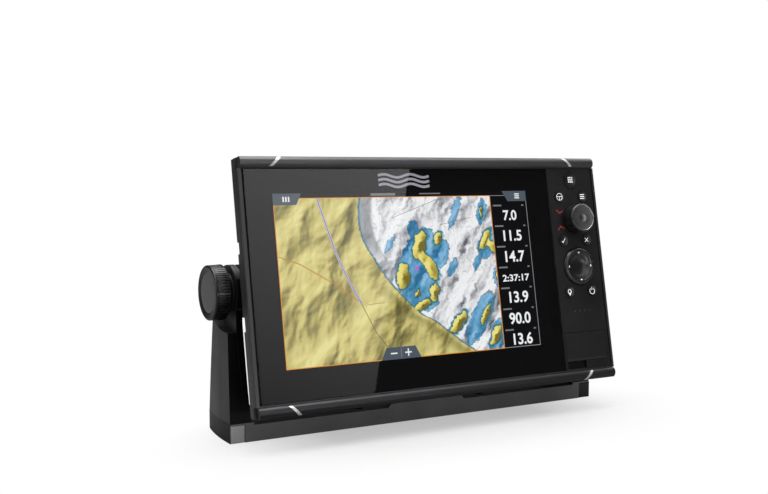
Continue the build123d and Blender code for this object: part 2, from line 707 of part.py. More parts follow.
with BuildPart() as rotary_knob:
    with BuildSketch(spin_plane(*DIAL)):
        with BuildLine():
            Line((0, DIAL_BASE), (DIAL_R, DIAL_BASE))
            Line((DIAL_R, DIAL_BASE), (10.5, 8.6))
            ThreePointArc((10.5, 8.6), (10.2, 9.7), (9.4, DIAL_TOP))
            Line((9.4, DIAL_TOP), (8.9, 9.9))
            Line((8.9, 9.9), (8.9, 8.6))
            Line((8.9, 8.6), (0, 8.6))
            Line((0, 8.6), (0, DIAL_BASE))
        make_face()
    revolve(axis=spin_axis(*DIAL))
    add(encoder_shaft.part, mode=Mode.SUBTRACT)
write(rotary_knob, "rotary_knob")

with BuildPart() as rotary_cap:
    with BuildSketch(spin_plane(*DIAL)):
        with BuildLine():
            Line((0, 8.6), (8.8, 8.6))
            Line((8.8, 8.6), (8.8, 9.9))
            ThreePointArc((8.8, 9.9), (6.2, 9.66), (3.4, 9.6))
            ThreePointArc((3.4, 9.6), (2.8, 9.52), (2.2, 9.35))
            ThreePointArc((2.2, 9.35), (1.4, 9.18), (0.5, 9.1))
            Line((0.5, 9.1), (0, 9.1))
            Line((0, 9.1), (0, 8.6))
        make_face()
    revolve(axis=spin_axis(*DIAL))
write(rotary_cap, "rotary_cap")

# ---- card bay -------------------------------------------------------------------------------------
with BuildPart() as card_door:
    with BuildSketch(PROFILE):
        with BuildLine():
            Line((-DOOR_THICK, DOOR_BOTTOM), (0.5, DOOR_BOTTOM))
            Line((0.5, DOOR_BOTTOM), (0, DOOR_BOTTOM + 1.4))
            Line((0, DOOR_BOTTOM + 1.4), (0, DOOR_AXIS_V))
            ThreePointArc((0, DOOR_AXIS_V), (-DOOR_THICK / 2, DOOR_AXIS_V + DOOR_THICK / 2),
                          (-DOOR_THICK, DOOR_AXIS_V))
            Line((-DOOR_THICK, DOOR_AXIS_V), (-DOOR_THICK, DOOR_BOTTOM))
        make_face()
        with Locations((-DOOR_THICK / 2, DOOR_AXIS_V)):
            Circle(HINGE_PIN_R + RUNNING, mode=Mode.SUBTRACT)
    extrude(amount=-DOOR_RIGHT)
    block(0, DOOR_LEFT, -90, 0, -20, 20, mode=Mode.SUBTRACT)
write(card_door, "card_door")

with BuildPart() as door_pin:
    with BuildSketch(PROFILE.offset(-(DOOR_LEFT - PIN_OVERHANG))):
        with Locations((-DOOR_THICK / 2, DOOR_AXIS_V)):
            Circle(HINGE_PIN_R)
    extrude(amount=-(DOOR_RIGHT - DOOR_LEFT + 2 * PIN_OVERHANG))
write(door_pin, "door_pin")

# rubber plug on the back of the door, with a raised sealing bead
with BuildPart() as door_seal:
    seal_back = -DOOR_THICK - SEAL_DEPTH
    block(BAY_LEFT + 1.2, BAY_RIGHT - 1.2, BAY_BOTTOM + 1.3, BAY_TOP - 1.2, seal_back, -DOOR_THICK)
    block(BAY_LEFT + 0.7, BAY_RIGHT - 0.7, BAY_BOTTOM + 0.9, BAY_TOP - 0.9, -3.6, -2.9)
write(door_seal, "door_seal")

# card reader with two slots
with BuildPart() as card_reader:
    block(104, 134, -64.2, -52.2, READER_BACK, READER_FACE)
    for slot_v in (-60.4, -56.0):
        block(112.5, 125.5, slot_v - 0.7, slot_v + 0.7, READER_FACE - 2.4, 0, mode=Mode.SUBTRACT)
write(card_reader, "card_reader")

# ---- rear of the head -----------------------------------------------------------------------------
flange_front = -FRAME_DEPTH - GASKET_REAR
flange_back = flange_front - FLANGE_THICK

with BuildPart() as rear_gasket:
    with BuildSketch(layer(flange_front)):
        RectangleRounded(FLANGE_WIDTH - 2, FLANGE_HEIGHT - 2, 5)
        RectangleRounded(254.5, HOUSING_HEIGHT, 4, mode=Mode.SUBTRACT)
        for side in (-1, 1):
            with Locations(*[(screw_x, side * SCREW_V) for screw_x in SCREW_XS]):
                Circle(1.7, mode=Mode.SUBTRACT)
    extrude(amount=GASKET_REAR)
write(rear_gasket, "rear_gasket")

# moulded rear housing: flange, tapered shell, opening for the heat sink and the two pivot bosses
with BuildPart() as rear_housing:
    with BuildSketch(layer(flange_back)):
        RectangleRounded(FLANGE_WIDTH, FLANGE_HEIGHT, 6)
    extrude(amount=FLANGE_THICK)
    with BuildSketch(layer(flange_back)):
        RectangleRounded(HOUSING_WIDTH, HOUSING_HEIGHT, 8)
    extrude(amount=HOUSING_BACK - flange_back, taper=HOUSING_TAPER)
    fillet(rear_housing.edges().group_by(DEPTH_AXIS)[0], 2.5)
    with BuildSketch(layer(flange_front)):
        RectangleRounded(HOUSING_WIDTH - 2 * HOUSING_WALL, HOUSING_HEIGHT - 2 * HOUSING_WALL, 5)
    extrude(amount=HOUSING_BACK + HOUSING_WALL - flange_front, taper=HOUSING_TAPER, mode=Mode.SUBTRACT)
    with BuildSketch(layer(HOUSING_BACK)):
        with Locations((0, SINK_V)):
            Rectangle(SINK_WIDTH, SINK_HEIGHT)
    extrude(amount=HOUSING_WALL, mode=Mode.SUBTRACT)
    for side in (-1, 1):
        rod(BOSS_R, side * 120.5, side * BOSS_FACE)
        rod(8.0, side * 114.0, side * 121.0)
        rod(5.0, side * 117.0, side * (BOSS_FACE + 1), mode=Mode.SUBTRACT)
        screw_row = [layer(flange_back) * Location((screw_x, side * SCREW_V, 0)) for screw_x in SCREW_XS]
        with Locations(*screw_row):
            Cylinder(1.7, 20, mode=Mode.SUBTRACT)
write(rear_housing, "rear_housing")

# finned aluminium plate that fills the opening in the housing's back
with BuildPart() as heat_sink:
    with BuildSketch(layer(HOUSING_BACK)):
        with Locations((0, SINK_V)):
            Rectangle(SINK_WIDTH - 0.1, SINK_HEIGHT - 0.1)
    extrude(amount=HOUSING_WALL)
    with BuildSketch(layer(HOUSING_BACK - FIN_HEIGHT)):
        with Locations((0, SINK_V)):
            with GridLocations(FIN_PITCH, 1, FIN_COUNT, 1):
                RectangleRounded(2.4, SINK_HEIGHT - 4, 1.1)
    extrude(amount=FIN_HEIGHT)
write(heat_sink, "heat_sink")

# pan-head screws round the flange
with BuildPart() as housing_screws:
    for side in (-1, 1):
        for screw_x in SCREW_XS:
            disc(screw_x, side * SCREW_V, 2.8, flange_back - 1.8, flange_back)
            disc(screw_x, side * SCREW_V, 1.5, flange_back, BAR_BACK - 1.2)
            block(screw_x - 0.4, screw_x + 0.4, side * SCREW_V - 1.8, side * SCREW_V + 1.8,
                  flange_back - 2, flange_back - 0.9, mode=Mode.SUBTRACT)
            block(screw_x - 1.8, screw_x + 1.8, side * SCREW_V - 0.4, side * SCREW_V + 0.4,
                  flange_back - 2, flange_back - 0.9, mode=Mode.SUBTRACT)
write(housing_screws, "housing_screws")

# brass inserts that take the knobs' studs, and the head's half of the ratchets
with BuildPart() as pivot_inserts:
    for side in (-1, 1):
        rod(5.0, side * 117.0, side * BOSS_FACE)
        rod(BORE_R, side * 118.0, side * (BOSS_FACE + 1), mode=Mode.SUBTRACT)
write(pivot_inserts, "pivot_inserts")

with BuildPart() as pivot_ratchets:
    ratchet(BOSS_FACE + 1.1, BOSS_FACE, 15.0, 3.6)
    ratchet(-BOSS_FACE - 1.1, -BOSS_FACE, 15.0, 3.6)
write(pivot_ratchets, "pivot_ratchets")

# circuit boards and the plate that carries their heat to the housing
with BuildPart() as main_board:
    block(-105, 105, -52, 56, -21.6, -20.0)
    block(-30, 5, -10, 25, -20.0, -17.5)
    with BuildSketch(layer(-20.0)):
        with GridLocations(26, 22, 7, 3):
            Rectangle(9, 6)
    extrude(amount=1.6)
write(main_board, "main_board")

with BuildPart() as heat_spreader:
    block(-112, 112, -56, 58, -28.0, -25.5)
    for post_x in (-96, 96):
        for post_v in (-44, 48):
            disc(post_x, post_v, 3.0, -25.5, -21.6)
            disc(post_x, post_v, 3.0, -55.0, -28.0)
write(heat_spreader, "heat_spreader")

with BuildPart() as sonar_board:
    block(-70, 88, -50, 40, -40.6, -39.0)
    block(-50, -14, -4, 26, -39.0, -33.0)
    block(20, 60, 0, 24, -39.0, -35.0)
write(sonar_board, "sonar_board")

# ---- connectors -----------------------------------------------------------------------------------
CONNECTOR_LENGTH = 11.0


def shell(x, radius):
    """A round bulkhead connector shell on the housing's back, with its hexagonal flange."""
    with BuildSketch(layer(HOUSING_BACK - 1.8)) as hexagon:
        with Locations((x, CONNECTOR_V)):
            RegularPolygon(radius + 1.8, 6)
    extrude(hexagon.sketch, amount=1.8)
    disc(x, CONNECTOR_V, radius, HOUSING_BACK - CONNECTOR_LENGTH, HOUSING_BACK - 1.8)
    disc(x, CONNECTOR_V, radius - 1.6, HOUSING_BACK - CONNECTOR_LENGTH - 1, HOUSING_BACK, mode=Mode.SUBTRACT)


def insert(x, radius):
    """The moulded insert inside a connector shell, keyed at the top."""
    disc(x, CONNECTOR_V, radius - 1.6, HOUSING_BACK - CONNECTOR_LENGTH + 2.2, HOUSING_BACK)
    block(x - 1, x + 1, CONNECTOR_V + radius - 3.2, CONNECTOR_V + radius - 1.8,
          HOUSING_BACK - CONNECTOR_LENGTH, HOUSING_BACK - CONNECTOR_LENGTH + 4, mode=Mode.SUBTRACT)


CONNECTORS = {
    "power_connector": [(-86.0, 9.5, 4)],
    "network_connectors": [(-58.0, 6.0, 5), (-31.0, 8.5, 5)],
    "sonar_connectors": [(-1.0, 10.5, 9), (30.0, 10.5, 9)],
}

for connector_name, sockets in CONNECTORS.items():
    with BuildPart() as connector:
        for socket_x, socket_r, pin_count in sockets:
            shell(socket_x, socket_r)
    write(connector, connector_name)

with BuildPart() as connector_inserts:
    for sockets in CONNECTORS.values():
        for socket_x, socket_r, pin_count in sockets:
            insert(socket_x, socket_r)
write(connector_inserts, "connector_inserts")

insert_face = HOUSING_BACK - CONNECTOR_LENGTH + 2.2
with BuildPart() as connector_pins:
    for sockets in CONNECTORS.values():
        for socket_x, socket_r, pin_count in sockets:
            with BuildSketch(layer(insert_face - 1.6)):
                with Locations((socket_x, CONNECTOR_V)):
                    with PolarLocations((socket_r - 1.6) * 0.52, pin_count):
                        Circle(0.55)
            extrude(amount=1.6)
write(connector_pins, "connector_pins")

# sealed cover over the video and service sockets, and the pressure vent
with BuildPart() as service_cover:
    with BuildSketch(layer(HOUSING_BACK - 4.0)):
        with Locations((72.0, CONNECTOR_V)):
            RectangleRounded(40, 18, 4)
    extrude(amount=4.0)
    fillet(service_cover.edges().group_by(DEPTH_AXIS)[0], 1.0)
write(service_cover, "service_cover")

with BuildPart() as vent_plug:
    disc(104.0, CONNECTOR_V, 5.0, HOUSING_BACK - 2.2, HOUSING_BACK)
    with BuildSketch(layer(HOUSING_BACK - 3)):
        with Locations((104.0, CONNECTOR_V)):
            with PolarLocations(3.0, 6):
                Circle(0.6)
    extrude(amount=2, mode=Mode.SUBTRACT)
write(vent_plug, "vent_plug")
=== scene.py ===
import json
import math

import bmesh
import bpy
from mathutils import Matrix, Vector


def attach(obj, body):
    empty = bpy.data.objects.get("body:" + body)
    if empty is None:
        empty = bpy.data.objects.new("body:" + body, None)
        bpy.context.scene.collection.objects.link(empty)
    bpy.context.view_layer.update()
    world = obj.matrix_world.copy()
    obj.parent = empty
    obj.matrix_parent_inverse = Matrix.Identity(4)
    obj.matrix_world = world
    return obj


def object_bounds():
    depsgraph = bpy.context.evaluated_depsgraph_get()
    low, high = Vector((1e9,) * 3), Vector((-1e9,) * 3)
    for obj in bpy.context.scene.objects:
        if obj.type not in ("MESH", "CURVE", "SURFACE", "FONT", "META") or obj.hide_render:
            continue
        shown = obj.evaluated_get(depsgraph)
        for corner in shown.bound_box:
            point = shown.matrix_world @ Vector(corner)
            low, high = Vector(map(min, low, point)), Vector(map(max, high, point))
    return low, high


# Looks for a nine-inch marine chartplotter on its tilt bracket. Lengths are metres, and the head's
# own measures are millimetres in its face plane: x across, v up the face from the pivot, w out of
# the glass.

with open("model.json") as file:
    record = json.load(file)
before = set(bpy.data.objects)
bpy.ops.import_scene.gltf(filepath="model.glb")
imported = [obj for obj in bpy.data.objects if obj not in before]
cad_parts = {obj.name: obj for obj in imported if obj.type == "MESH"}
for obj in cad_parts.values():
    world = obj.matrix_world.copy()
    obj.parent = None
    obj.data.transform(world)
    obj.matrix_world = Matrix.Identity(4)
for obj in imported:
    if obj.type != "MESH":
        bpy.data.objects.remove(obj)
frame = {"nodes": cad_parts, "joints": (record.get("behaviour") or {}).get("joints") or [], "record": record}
cad_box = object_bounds()

# ---- the head's face plane, from the frame ------------------------------------------------------
MM = 0.001
GLASS_TO_PIVOT = 37.1
SCREEN_X = -20.65
SCREEN_V = 2.4
SCREEN_W = 199.2
SCREEN_H = 112.05
DIAL = (120.55, 36.1)
DPAD = (119.85, 1.2)
PAGES_KEY = (120.15, 66.0)
KEYS = {
    "helm": (108.35, 53.3),
    "menu": (129.75, 53.3),
    "enter": (107.95, 20.6),
    "exit": (129.65, 20.6),
    "mark": (108.75, -17.2),
    "power": (129.75, -17.2),
}

mounts = {mount["name"]: mount for mount in frame["record"]["mounts"]}
joints = {joint["name"]: joint for joint in frame["joints"]}
ACROSS = Vector((1, 0, 0))
OUTWARD = -Vector(mounts["power_plug"]["axis"]).normalized()
UPWARD = OUTWARD.cross(ACROSS)
PIVOT = Vector(joints["head_tilt"]["pos_m"])
GLASS = PIVOT + OUTWARD * GLASS_TO_PIVOT * MM
FACE = Matrix((
    (ACROSS.x * MM, UPWARD.x * MM, OUTWARD.x * MM, GLASS.x),
    (ACROSS.y * MM, UPWARD.y * MM, OUTWARD.y * MM, GLASS.y),
    (ACROSS.z * MM, UPWARD.z * MM, OUTWARD.z * MM, GLASS.z),
    (0, 0, 0, 1),
))
FACE_INVERSE = FACE.inverted()


def on_face(x, v, w=0.0):
    """The point of the row frame at x, v, w millimetres of the head's face."""
    return FACE @ Vector((x, v, w))


# ---- node-tree helper ---------------------------------------------------------------------------
class Graph:
    """Builds a material's node tree from short calls; every method returns an output socket."""

    def __init__(self, name):
        self.material = bpy.data.materials.new(name)
        self.material.use_nodes = True
        self.tree = self.material.node_tree
        self.tree.nodes.clear()
        self.out = self.tree.nodes.new("ShaderNodeOutputMaterial")
        self.coords = self.tree.nodes.new("ShaderNodeTexCoord").outputs["Object"]

    def node(self, kind, settings=None, inputs=None, output=0):
        made = self.tree.nodes.new(kind)
        for key, value in (settings or {}).items():
            setattr(made, key, value)
        for key, value in (inputs or {}).items():
            self.feed(made.inputs[key], value)
        return made.outputs[output]

    def feed(self, socket, value):
        if isinstance(value, bpy.types.NodeSocket):
            self.tree.links.new(value, socket)
        else:
            socket.default_value = value

    def math(self, operation, a, b=0.0, c=0.0, clamp=False):
        made = self.tree.nodes.new("ShaderNodeMath")
        made.operation = operation
        made.use_clamp = clamp
        for socket, value in zip(made.inputs, (a, b, c)):
            self.feed(socket, value)
        return made.outputs[0]

    def vector(self, operation, a, b=(0.0, 0.0, 0.0), output="Vector"):
        made = self.tree.nodes.new("ShaderNodeVectorMath")
        made.operation = operation
        self.feed(made.inputs[0], a)
        self.feed(made.inputs[1], b)
        return made.outputs[output]

    def scale(self, vector, factors):
        return self.vector("MULTIPLY", vector, factors)

    def noise(self, vector, scale, detail=2.0, rough=0.5, distortion=0.0):
        return self.node("ShaderNodeTexNoise", {"noise_dimensions": "3D"}, {
            "Vector": vector, "Scale": scale, "Detail": detail, "Roughness": rough,
            "Distortion": distortion,
        })

    def voronoi(self, vector, scale):
        return self.node("ShaderNodeTexVoronoi", {"feature": "F1"}, {"Vector": vector, "Scale": scale})

    def ramp(self, value, stops, interpolation="LINEAR"):
        made = self.tree.nodes.new("ShaderNodeValToRGB")
        made.color_ramp.interpolation = interpolation
        elements = made.color_ramp.elements
        while len(elements) < len(stops):
            elements.new(0.5)
        for element, (place, colour) in zip(elements, stops):
            element.position = place
            element.color = (*colour, 1.0)
        self.feed(made.inputs[0], value)
        return made.outputs[0]

    def mix(self, factor, a, b, blend="MIX"):
        made = self.tree.nodes.new("ShaderNodeMix")
        made.data_type = "RGBA"
        made.blend_type = blend
        made.clamp_factor = True
        self.feed(made.inputs[0], factor)
        for socket, value in ((made.inputs[6], a), (made.inputs[7], b)):
            if isinstance(value, tuple):
                value = (*value, 1.0) if len(value) == 3 else value
            self.feed(socket, value)
        return made.outputs[2]

    def remap(self, value, low, high, to_low=0.0, to_high=1.0):
        return self.node("ShaderNodeMapRange", {"clamp": True}, {
            "Value": value, "From Min": low, "From Max": high, "To Min": to_low, "To Max": to_high,
        })

    def bump(self, height, strength, distance, normal=None):
        inputs = {"Height": height, "Strength": strength, "Distance": distance}
        if normal is not None:
            inputs["Normal"] = normal
        return self.node("ShaderNodeBump", {}, inputs)

    def principled(self, **inputs):
        made = self.tree.nodes.new("ShaderNodeBsdfPrincipled")
        for key, value in inputs.items():
            name = key.replace("_", " ")
            if isinstance(value, tuple) and len(value) == 3:
                value = (*value, 1.0)
            self.feed(made.inputs[name], value)
        self.tree.links.new(made.outputs[0], self.out.inputs[0])
        return made


def tone(colour, factor):
    """A colour made lighter or darker."""
    return tuple(min(1.0, channel * factor) for channel in colour)


# ---- surface materials --------------------------------------------------------------------------
def plastic(name, colour, rough, grain=2600.0, depth=0.00004, mottle=0.25, specular=0.5, coat=0.0):
    """Moulded plastic or rubber: spark-eroded grain, cloudy gloss and a faint change of tone."""
    g = Graph(name)
    cloud = g.noise(g.coords, 34.0, 3.0)
    fine = g.noise(g.coords, grain, 2.0, 0.6)
    pits = g.voronoi(g.coords, grain * 0.55)
    shade = g.ramp(cloud, [(0.30, tone(colour, 1.0 - mottle)), (0.70, tone(colour, 1.0 + mottle))])
    speckle = g.mix(g.remap(fine, 0.42, 0.62), shade, g.mix(0.5, shade, tone(colour, 1.5)))
    slow = g.remap(cloud, 0.3, 0.7, rough - 0.05, rough + 0.05)
    gloss = g.math("ADD", slow, g.math("MULTIPLY", fine, 0.06))
    height = g.math("ADD", g.math("MULTIPLY", fine, 0.6), g.math("MULTIPLY", pits, 0.4))
    g.principled(Base_Color=speckle, Roughness=gloss, Specular_IOR_Level=specular, Coat_Weight=coat,
                 Coat_Roughness=0.12, Normal=g.bump(height, 0.35, depth))
    return g.material


def metal(name, colour, rough, stretch=(40.0, 2200.0, 2200.0), depth=0.000015, metallic=1.0):
    """Brushed or satin metal: streaks drawn out along one direction, with uneven gloss."""
    g = Graph(name)
    streak = g.noise(g.scale(g.coords, stretch), 1.0, 3.0, 0.65)
    cloud = g.noise(g.coords, 22.0, 2.0)
    shade = g.ramp(streak, [(0.25, tone(colour, 0.80)), (0.75, tone(colour, 1.18))])
    slow = g.remap(cloud, 0.3, 0.7, rough - 0.06, rough + 0.06)
    gloss = g.math("ADD", slow, g.math("MULTIPLY", streak, 0.08))
    g.principled(Base_Color=shade, Metallic=metallic, Roughness=gloss,
                 Normal=g.bump(streak, 0.3, depth))
    return g.material


def turned_metal(name, colour, rough, centre, axis, pitch=0.00022):
    """Lathe-turned metal: fine rings about an axis, each of its own tone."""
    g = Graph(name)
    offset = g.vector("SUBTRACT", g.coords, tuple(centre))
    along = g.vector("DOT_PRODUCT", offset, tuple(axis), output="Value")
    radial = g.vector("SUBTRACT", offset, g.node("ShaderNodeVectorMath", {"operation": "SCALE"},
                                                  {0: tuple(axis), "Scale": along}))
    radius = g.vector("LENGTH", radial, output="Value")
    turns = g.node("ShaderNodeCombineXYZ", {}, {"X": g.math("DIVIDE", radius, pitch)})
    rings = g.noise(turns, 1.0, 2.0, 0.6)
    cloud = g.noise(g.coords, 120.0, 2.0)
    shade = g.ramp(rings, [(0.3, tone(colour, 0.75)), (0.7, tone(colour, 1.3))])
    slow = g.remap(cloud, 0.3, 0.7, rough - 0.04, rough + 0.05)
    gloss = g.math("ADD", slow, g.math("MULTIPLY", rings, 0.06))
    g.principled(Base_Color=shade, Metallic=1.0, Roughness=gloss, Normal=g.bump(rings, 0.35, 0.00001))
    return g.material


def circuit(name, colour):
    """Solder mask over copper tracks."""
    g = Graph(name)
    bricks = {"Vector": g.coords, "Scale": 180.0, "Mortar Size": 0.06}
    tracks = g.node("ShaderNodeTexBrick", {}, bricks, 1)
    mask = g.mix(tracks, tone(colour, 1.0), tone(colour, 2.0))
    cloud = g.noise(g.coords, 60.0, 3.0)
    g.principled(Base_Color=g.mix(g.remap(cloud, 0.4, 0.6), mask, tone(colour, 0.8)),
                 Roughness=g.remap(cloud, 0.3, 0.7, 0.25, 0.4), Normal=g.bump(tracks, 0.4, 0.00005))
    return g.material


GLASS_IOR = 1.5


def clear_glass(name):
    """Cover glass: clear, and on its outer faces a mirror reflection that grows towards grazing."""
    g = Graph(name)
    smear = g.noise(g.coords, 9.0, 4.0, 0.6)
    clear = g.node("ShaderNodeBsdfTransparent", {}, {"Color": (0.97, 0.975, 0.98, 1.0)})
    mirror = g.node("ShaderNodeBsdfGlossy", {}, {
        "Color": (1.0, 1.0, 1.0, 1.0), "Roughness": g.remap(smear, 0.35, 0.75, 0.0, 0.035),
    })
    outer = g.math("SUBTRACT", 1.0, g.node("ShaderNodeNewGeometry", {}, {}, "Backfacing"))
    sheen = g.node("ShaderNodeFresnel", {}, {"IOR": GLASS_IOR})
    amount = g.math("MULTIPLY", sheen, outer)
    shader = g.tree.nodes.new("ShaderNodeMixShader")
    for socket, value in zip(shader.inputs, (amount, clear, mirror)):
        g.feed(socket, value)
    g.tree.links.new(shader.outputs[0], g.out.inputs[0])
    return g.material


def printed(name, colour, glow=0.0, rough=0.5):
    """Ink with the slight unevenness of a print, glowing by the amount given: on the keys' icons and the red
    marks a light from behind, on the wave mark painted light.
    """
    g = Graph(name)
    cloud = g.noise(g.coords, 900.0, 2.0)
    shade = g.ramp(cloud, [(0.3, tone(colour, 0.9)), (0.7, tone(colour, 1.06))])
    g.principled(Base_Color=shade, Roughness=g.remap(cloud, 0.3, 0.7, rough - 0.06, rough + 0.06),
                 Emission_Color=shade, Emission_Strength=glow)
    return g.material


def screen_ink(name, colour, strength=1.0):
    """A lit area of the screen, with its fine grid of cells."""
    g = Graph(name)
    cell = g.noise(g.coords, 1500.0, 1.0)
    shade = g.ramp(cell, [(0.3, tone(colour, 0.96)), (0.7, tone(colour, 1.03))])
    g.principled(Base_Color=(0.0, 0.0, 0.0), Roughness=0.4, Specular_IOR_Level=0.0,
                 Emission_Color=shade, Emission_Strength=strength)
    return g.material


# ---- the chart picture --------------------------------------------------------------------------
# islands of the chart: centre x and y in the chart's millimetres, half-length, half-width, turn
ISLANDS = (
    (6.0, 20.0, 11.0, 4.6, 65), (21.5, 23.5, 5.0, 3.2, 60), (-9.0, -1.5, 9.0, 5.6, 85),
    (13.5, 3.5, 9.0, 4.4, -62), (14.6, -13.0, 7.0, 3.8, 80), (1.0, -13.0, 3.6, 1.8, 70),
    (8.0, 10.5, 7.0, 3.4, -50), (4.0, -21.5, 7.5, 3.6, 25), (60.0, 21.0, 8.5, 3.6, 55),
    (66.0, 17.0, 6.0, 3.6, -40), (59.0, 41.5, 4.6, 1.6, 75), (55.0, -31.0, 9.5, 2.6, 60),
    (32.0, -35.0, 10.0, 4.0, 42), (62.0, -46.0, 8.5, 4.0, 58), (69.0, -4.0, 4.0, 3.0, 90),
)
# shallow banks round the islands, in the same measures
BANKS = (
    (3.0, 8.0, 25.0, 13.0, 62), (4.0, -12.0, 13.0, 15.0, 55),
    (22.0, 13.0, 11.0, 6.5, 70), (63.0, 19.0, 12.0, 7.5, 55),
    (59.5, 42.0, 9.0, 4.0, 75), (50.0, -33.0, 21.0, 7.5, 56), (64.0, -46.0, 13.0, 7.0, 58),
    (69.0, -5.0, 8.0, 5.0, 90), (37.0, 42.0, 13.0, 2.8, 64),
    (2.0, 30.0, 7.0, 4.0, 85), (-17.0, 21.0, 6.5, 2.0, 50),
    (31.0, 3.0, 7.0, 3.0, 60), (52.0, 6.0, 7.0, 2.5, 65),
)
# the mainland's edge: height and x of points of the coast, from the chart's top to its foot
COAST = (
    (56.0, -36.5), (40.0, -39.0), (25.0, -37.3), (11.6, -30.2), (0.0, -22.9), (-10.8, -14.3),
    (-20.2, -5.0), (-27.9, 3.5), (-32.3, 12.0), (-37.6, 19.3), (-44.0, 27.6), (-50.4, 36.1),
    (-56.0, 45.0),
)


def blob_field(g, place, blobs):
    """Smallest distance, in millimetres, from a place to a set of ellipses; negative inside."""
    nearest = None
    for x, y, half_length, half_width, turn in blobs:
        c, s = math.cos(math.radians(turn)), math.sin(math.radians(turn))
        offset = g.vector("SUBTRACT", place, (x, y, 0.0))
        along = g.vector("DOT_PRODUCT", offset, (c / half_length, s / half_length, 0.0), "Value")
        across = g.vector("DOT_PRODUCT", offset, (-s / half_width, c / half_width, 0.0), "Value")
        squares = g.math("ADD", g.math("MULTIPLY", along, along), g.math("MULTIPLY", across, across))
        radius = g.math("SQRT", squares)
        gap = g.math("MULTIPLY", g.math("SUBTRACT", radius, 1.0), half_width)
        nearest = gap if nearest is None else g.node("ShaderNodeMath", {"operation": "SMOOTH_MIN"},
                                                     {0: nearest, 1: gap, 2: 1.6})
    return nearest


def coast_curve(g, y):
    """x of the coast at chart height y, from the COAST points."""
    made = g.tree.nodes.new("ShaderNodeFloatCurve")
    curve = made.mapping.curves[0]
    low, high = -60.0, 60.0
    span = high - low
    points = [((height - low) / span, (x - low) / span) for height, x in reversed(COAST)]
    while len(curve.points) < len(points):
        curve.points.new(0.5, 0.5)
    for point, (place, value) in zip(curve.points, points):
        point.location = (place, value)
        point.handle_type = "AUTO"
    made.mapping.update()
    g.feed(made.inputs["Value"], g.remap(y, low, high))
    return g.remap(made.outputs[0], 0.0, 1.0, low, high)


def relief(g, place, turn, stretch, scale, seed):
    """Height of a stretch of ridged ground."""
    c, s = math.cos(math.radians(turn)), math.sin(math.radians(turn))
    along = g.vector("DOT_PRODUCT", place, (c / stretch, s / stretch, 0.0), "Value")
    across = g.vector("DOT_PRODUCT", place, (-s, c, 0.0), "Value")
    spot = g.node("ShaderNodeCombineXYZ", {}, {"X": along, "Y": across, "Z": seed})
    return g.noise(spot, scale, 3.5, 0.36, 0.2)


def hillshade(g, place, turn, stretch, scale, seed, step, gain):
    """Light and shade on that ground, lit from the upper left."""
    here = relief(g, place, turn, stretch, scale, seed)
    lit = relief(g, g.vector("ADD", place, (-step, step, 0.0)), turn, stretch, scale, seed)
    return g.math("ADD", g.math("MULTIPLY", g.math("SUBTRACT", here, lit), gain), 0.5), here


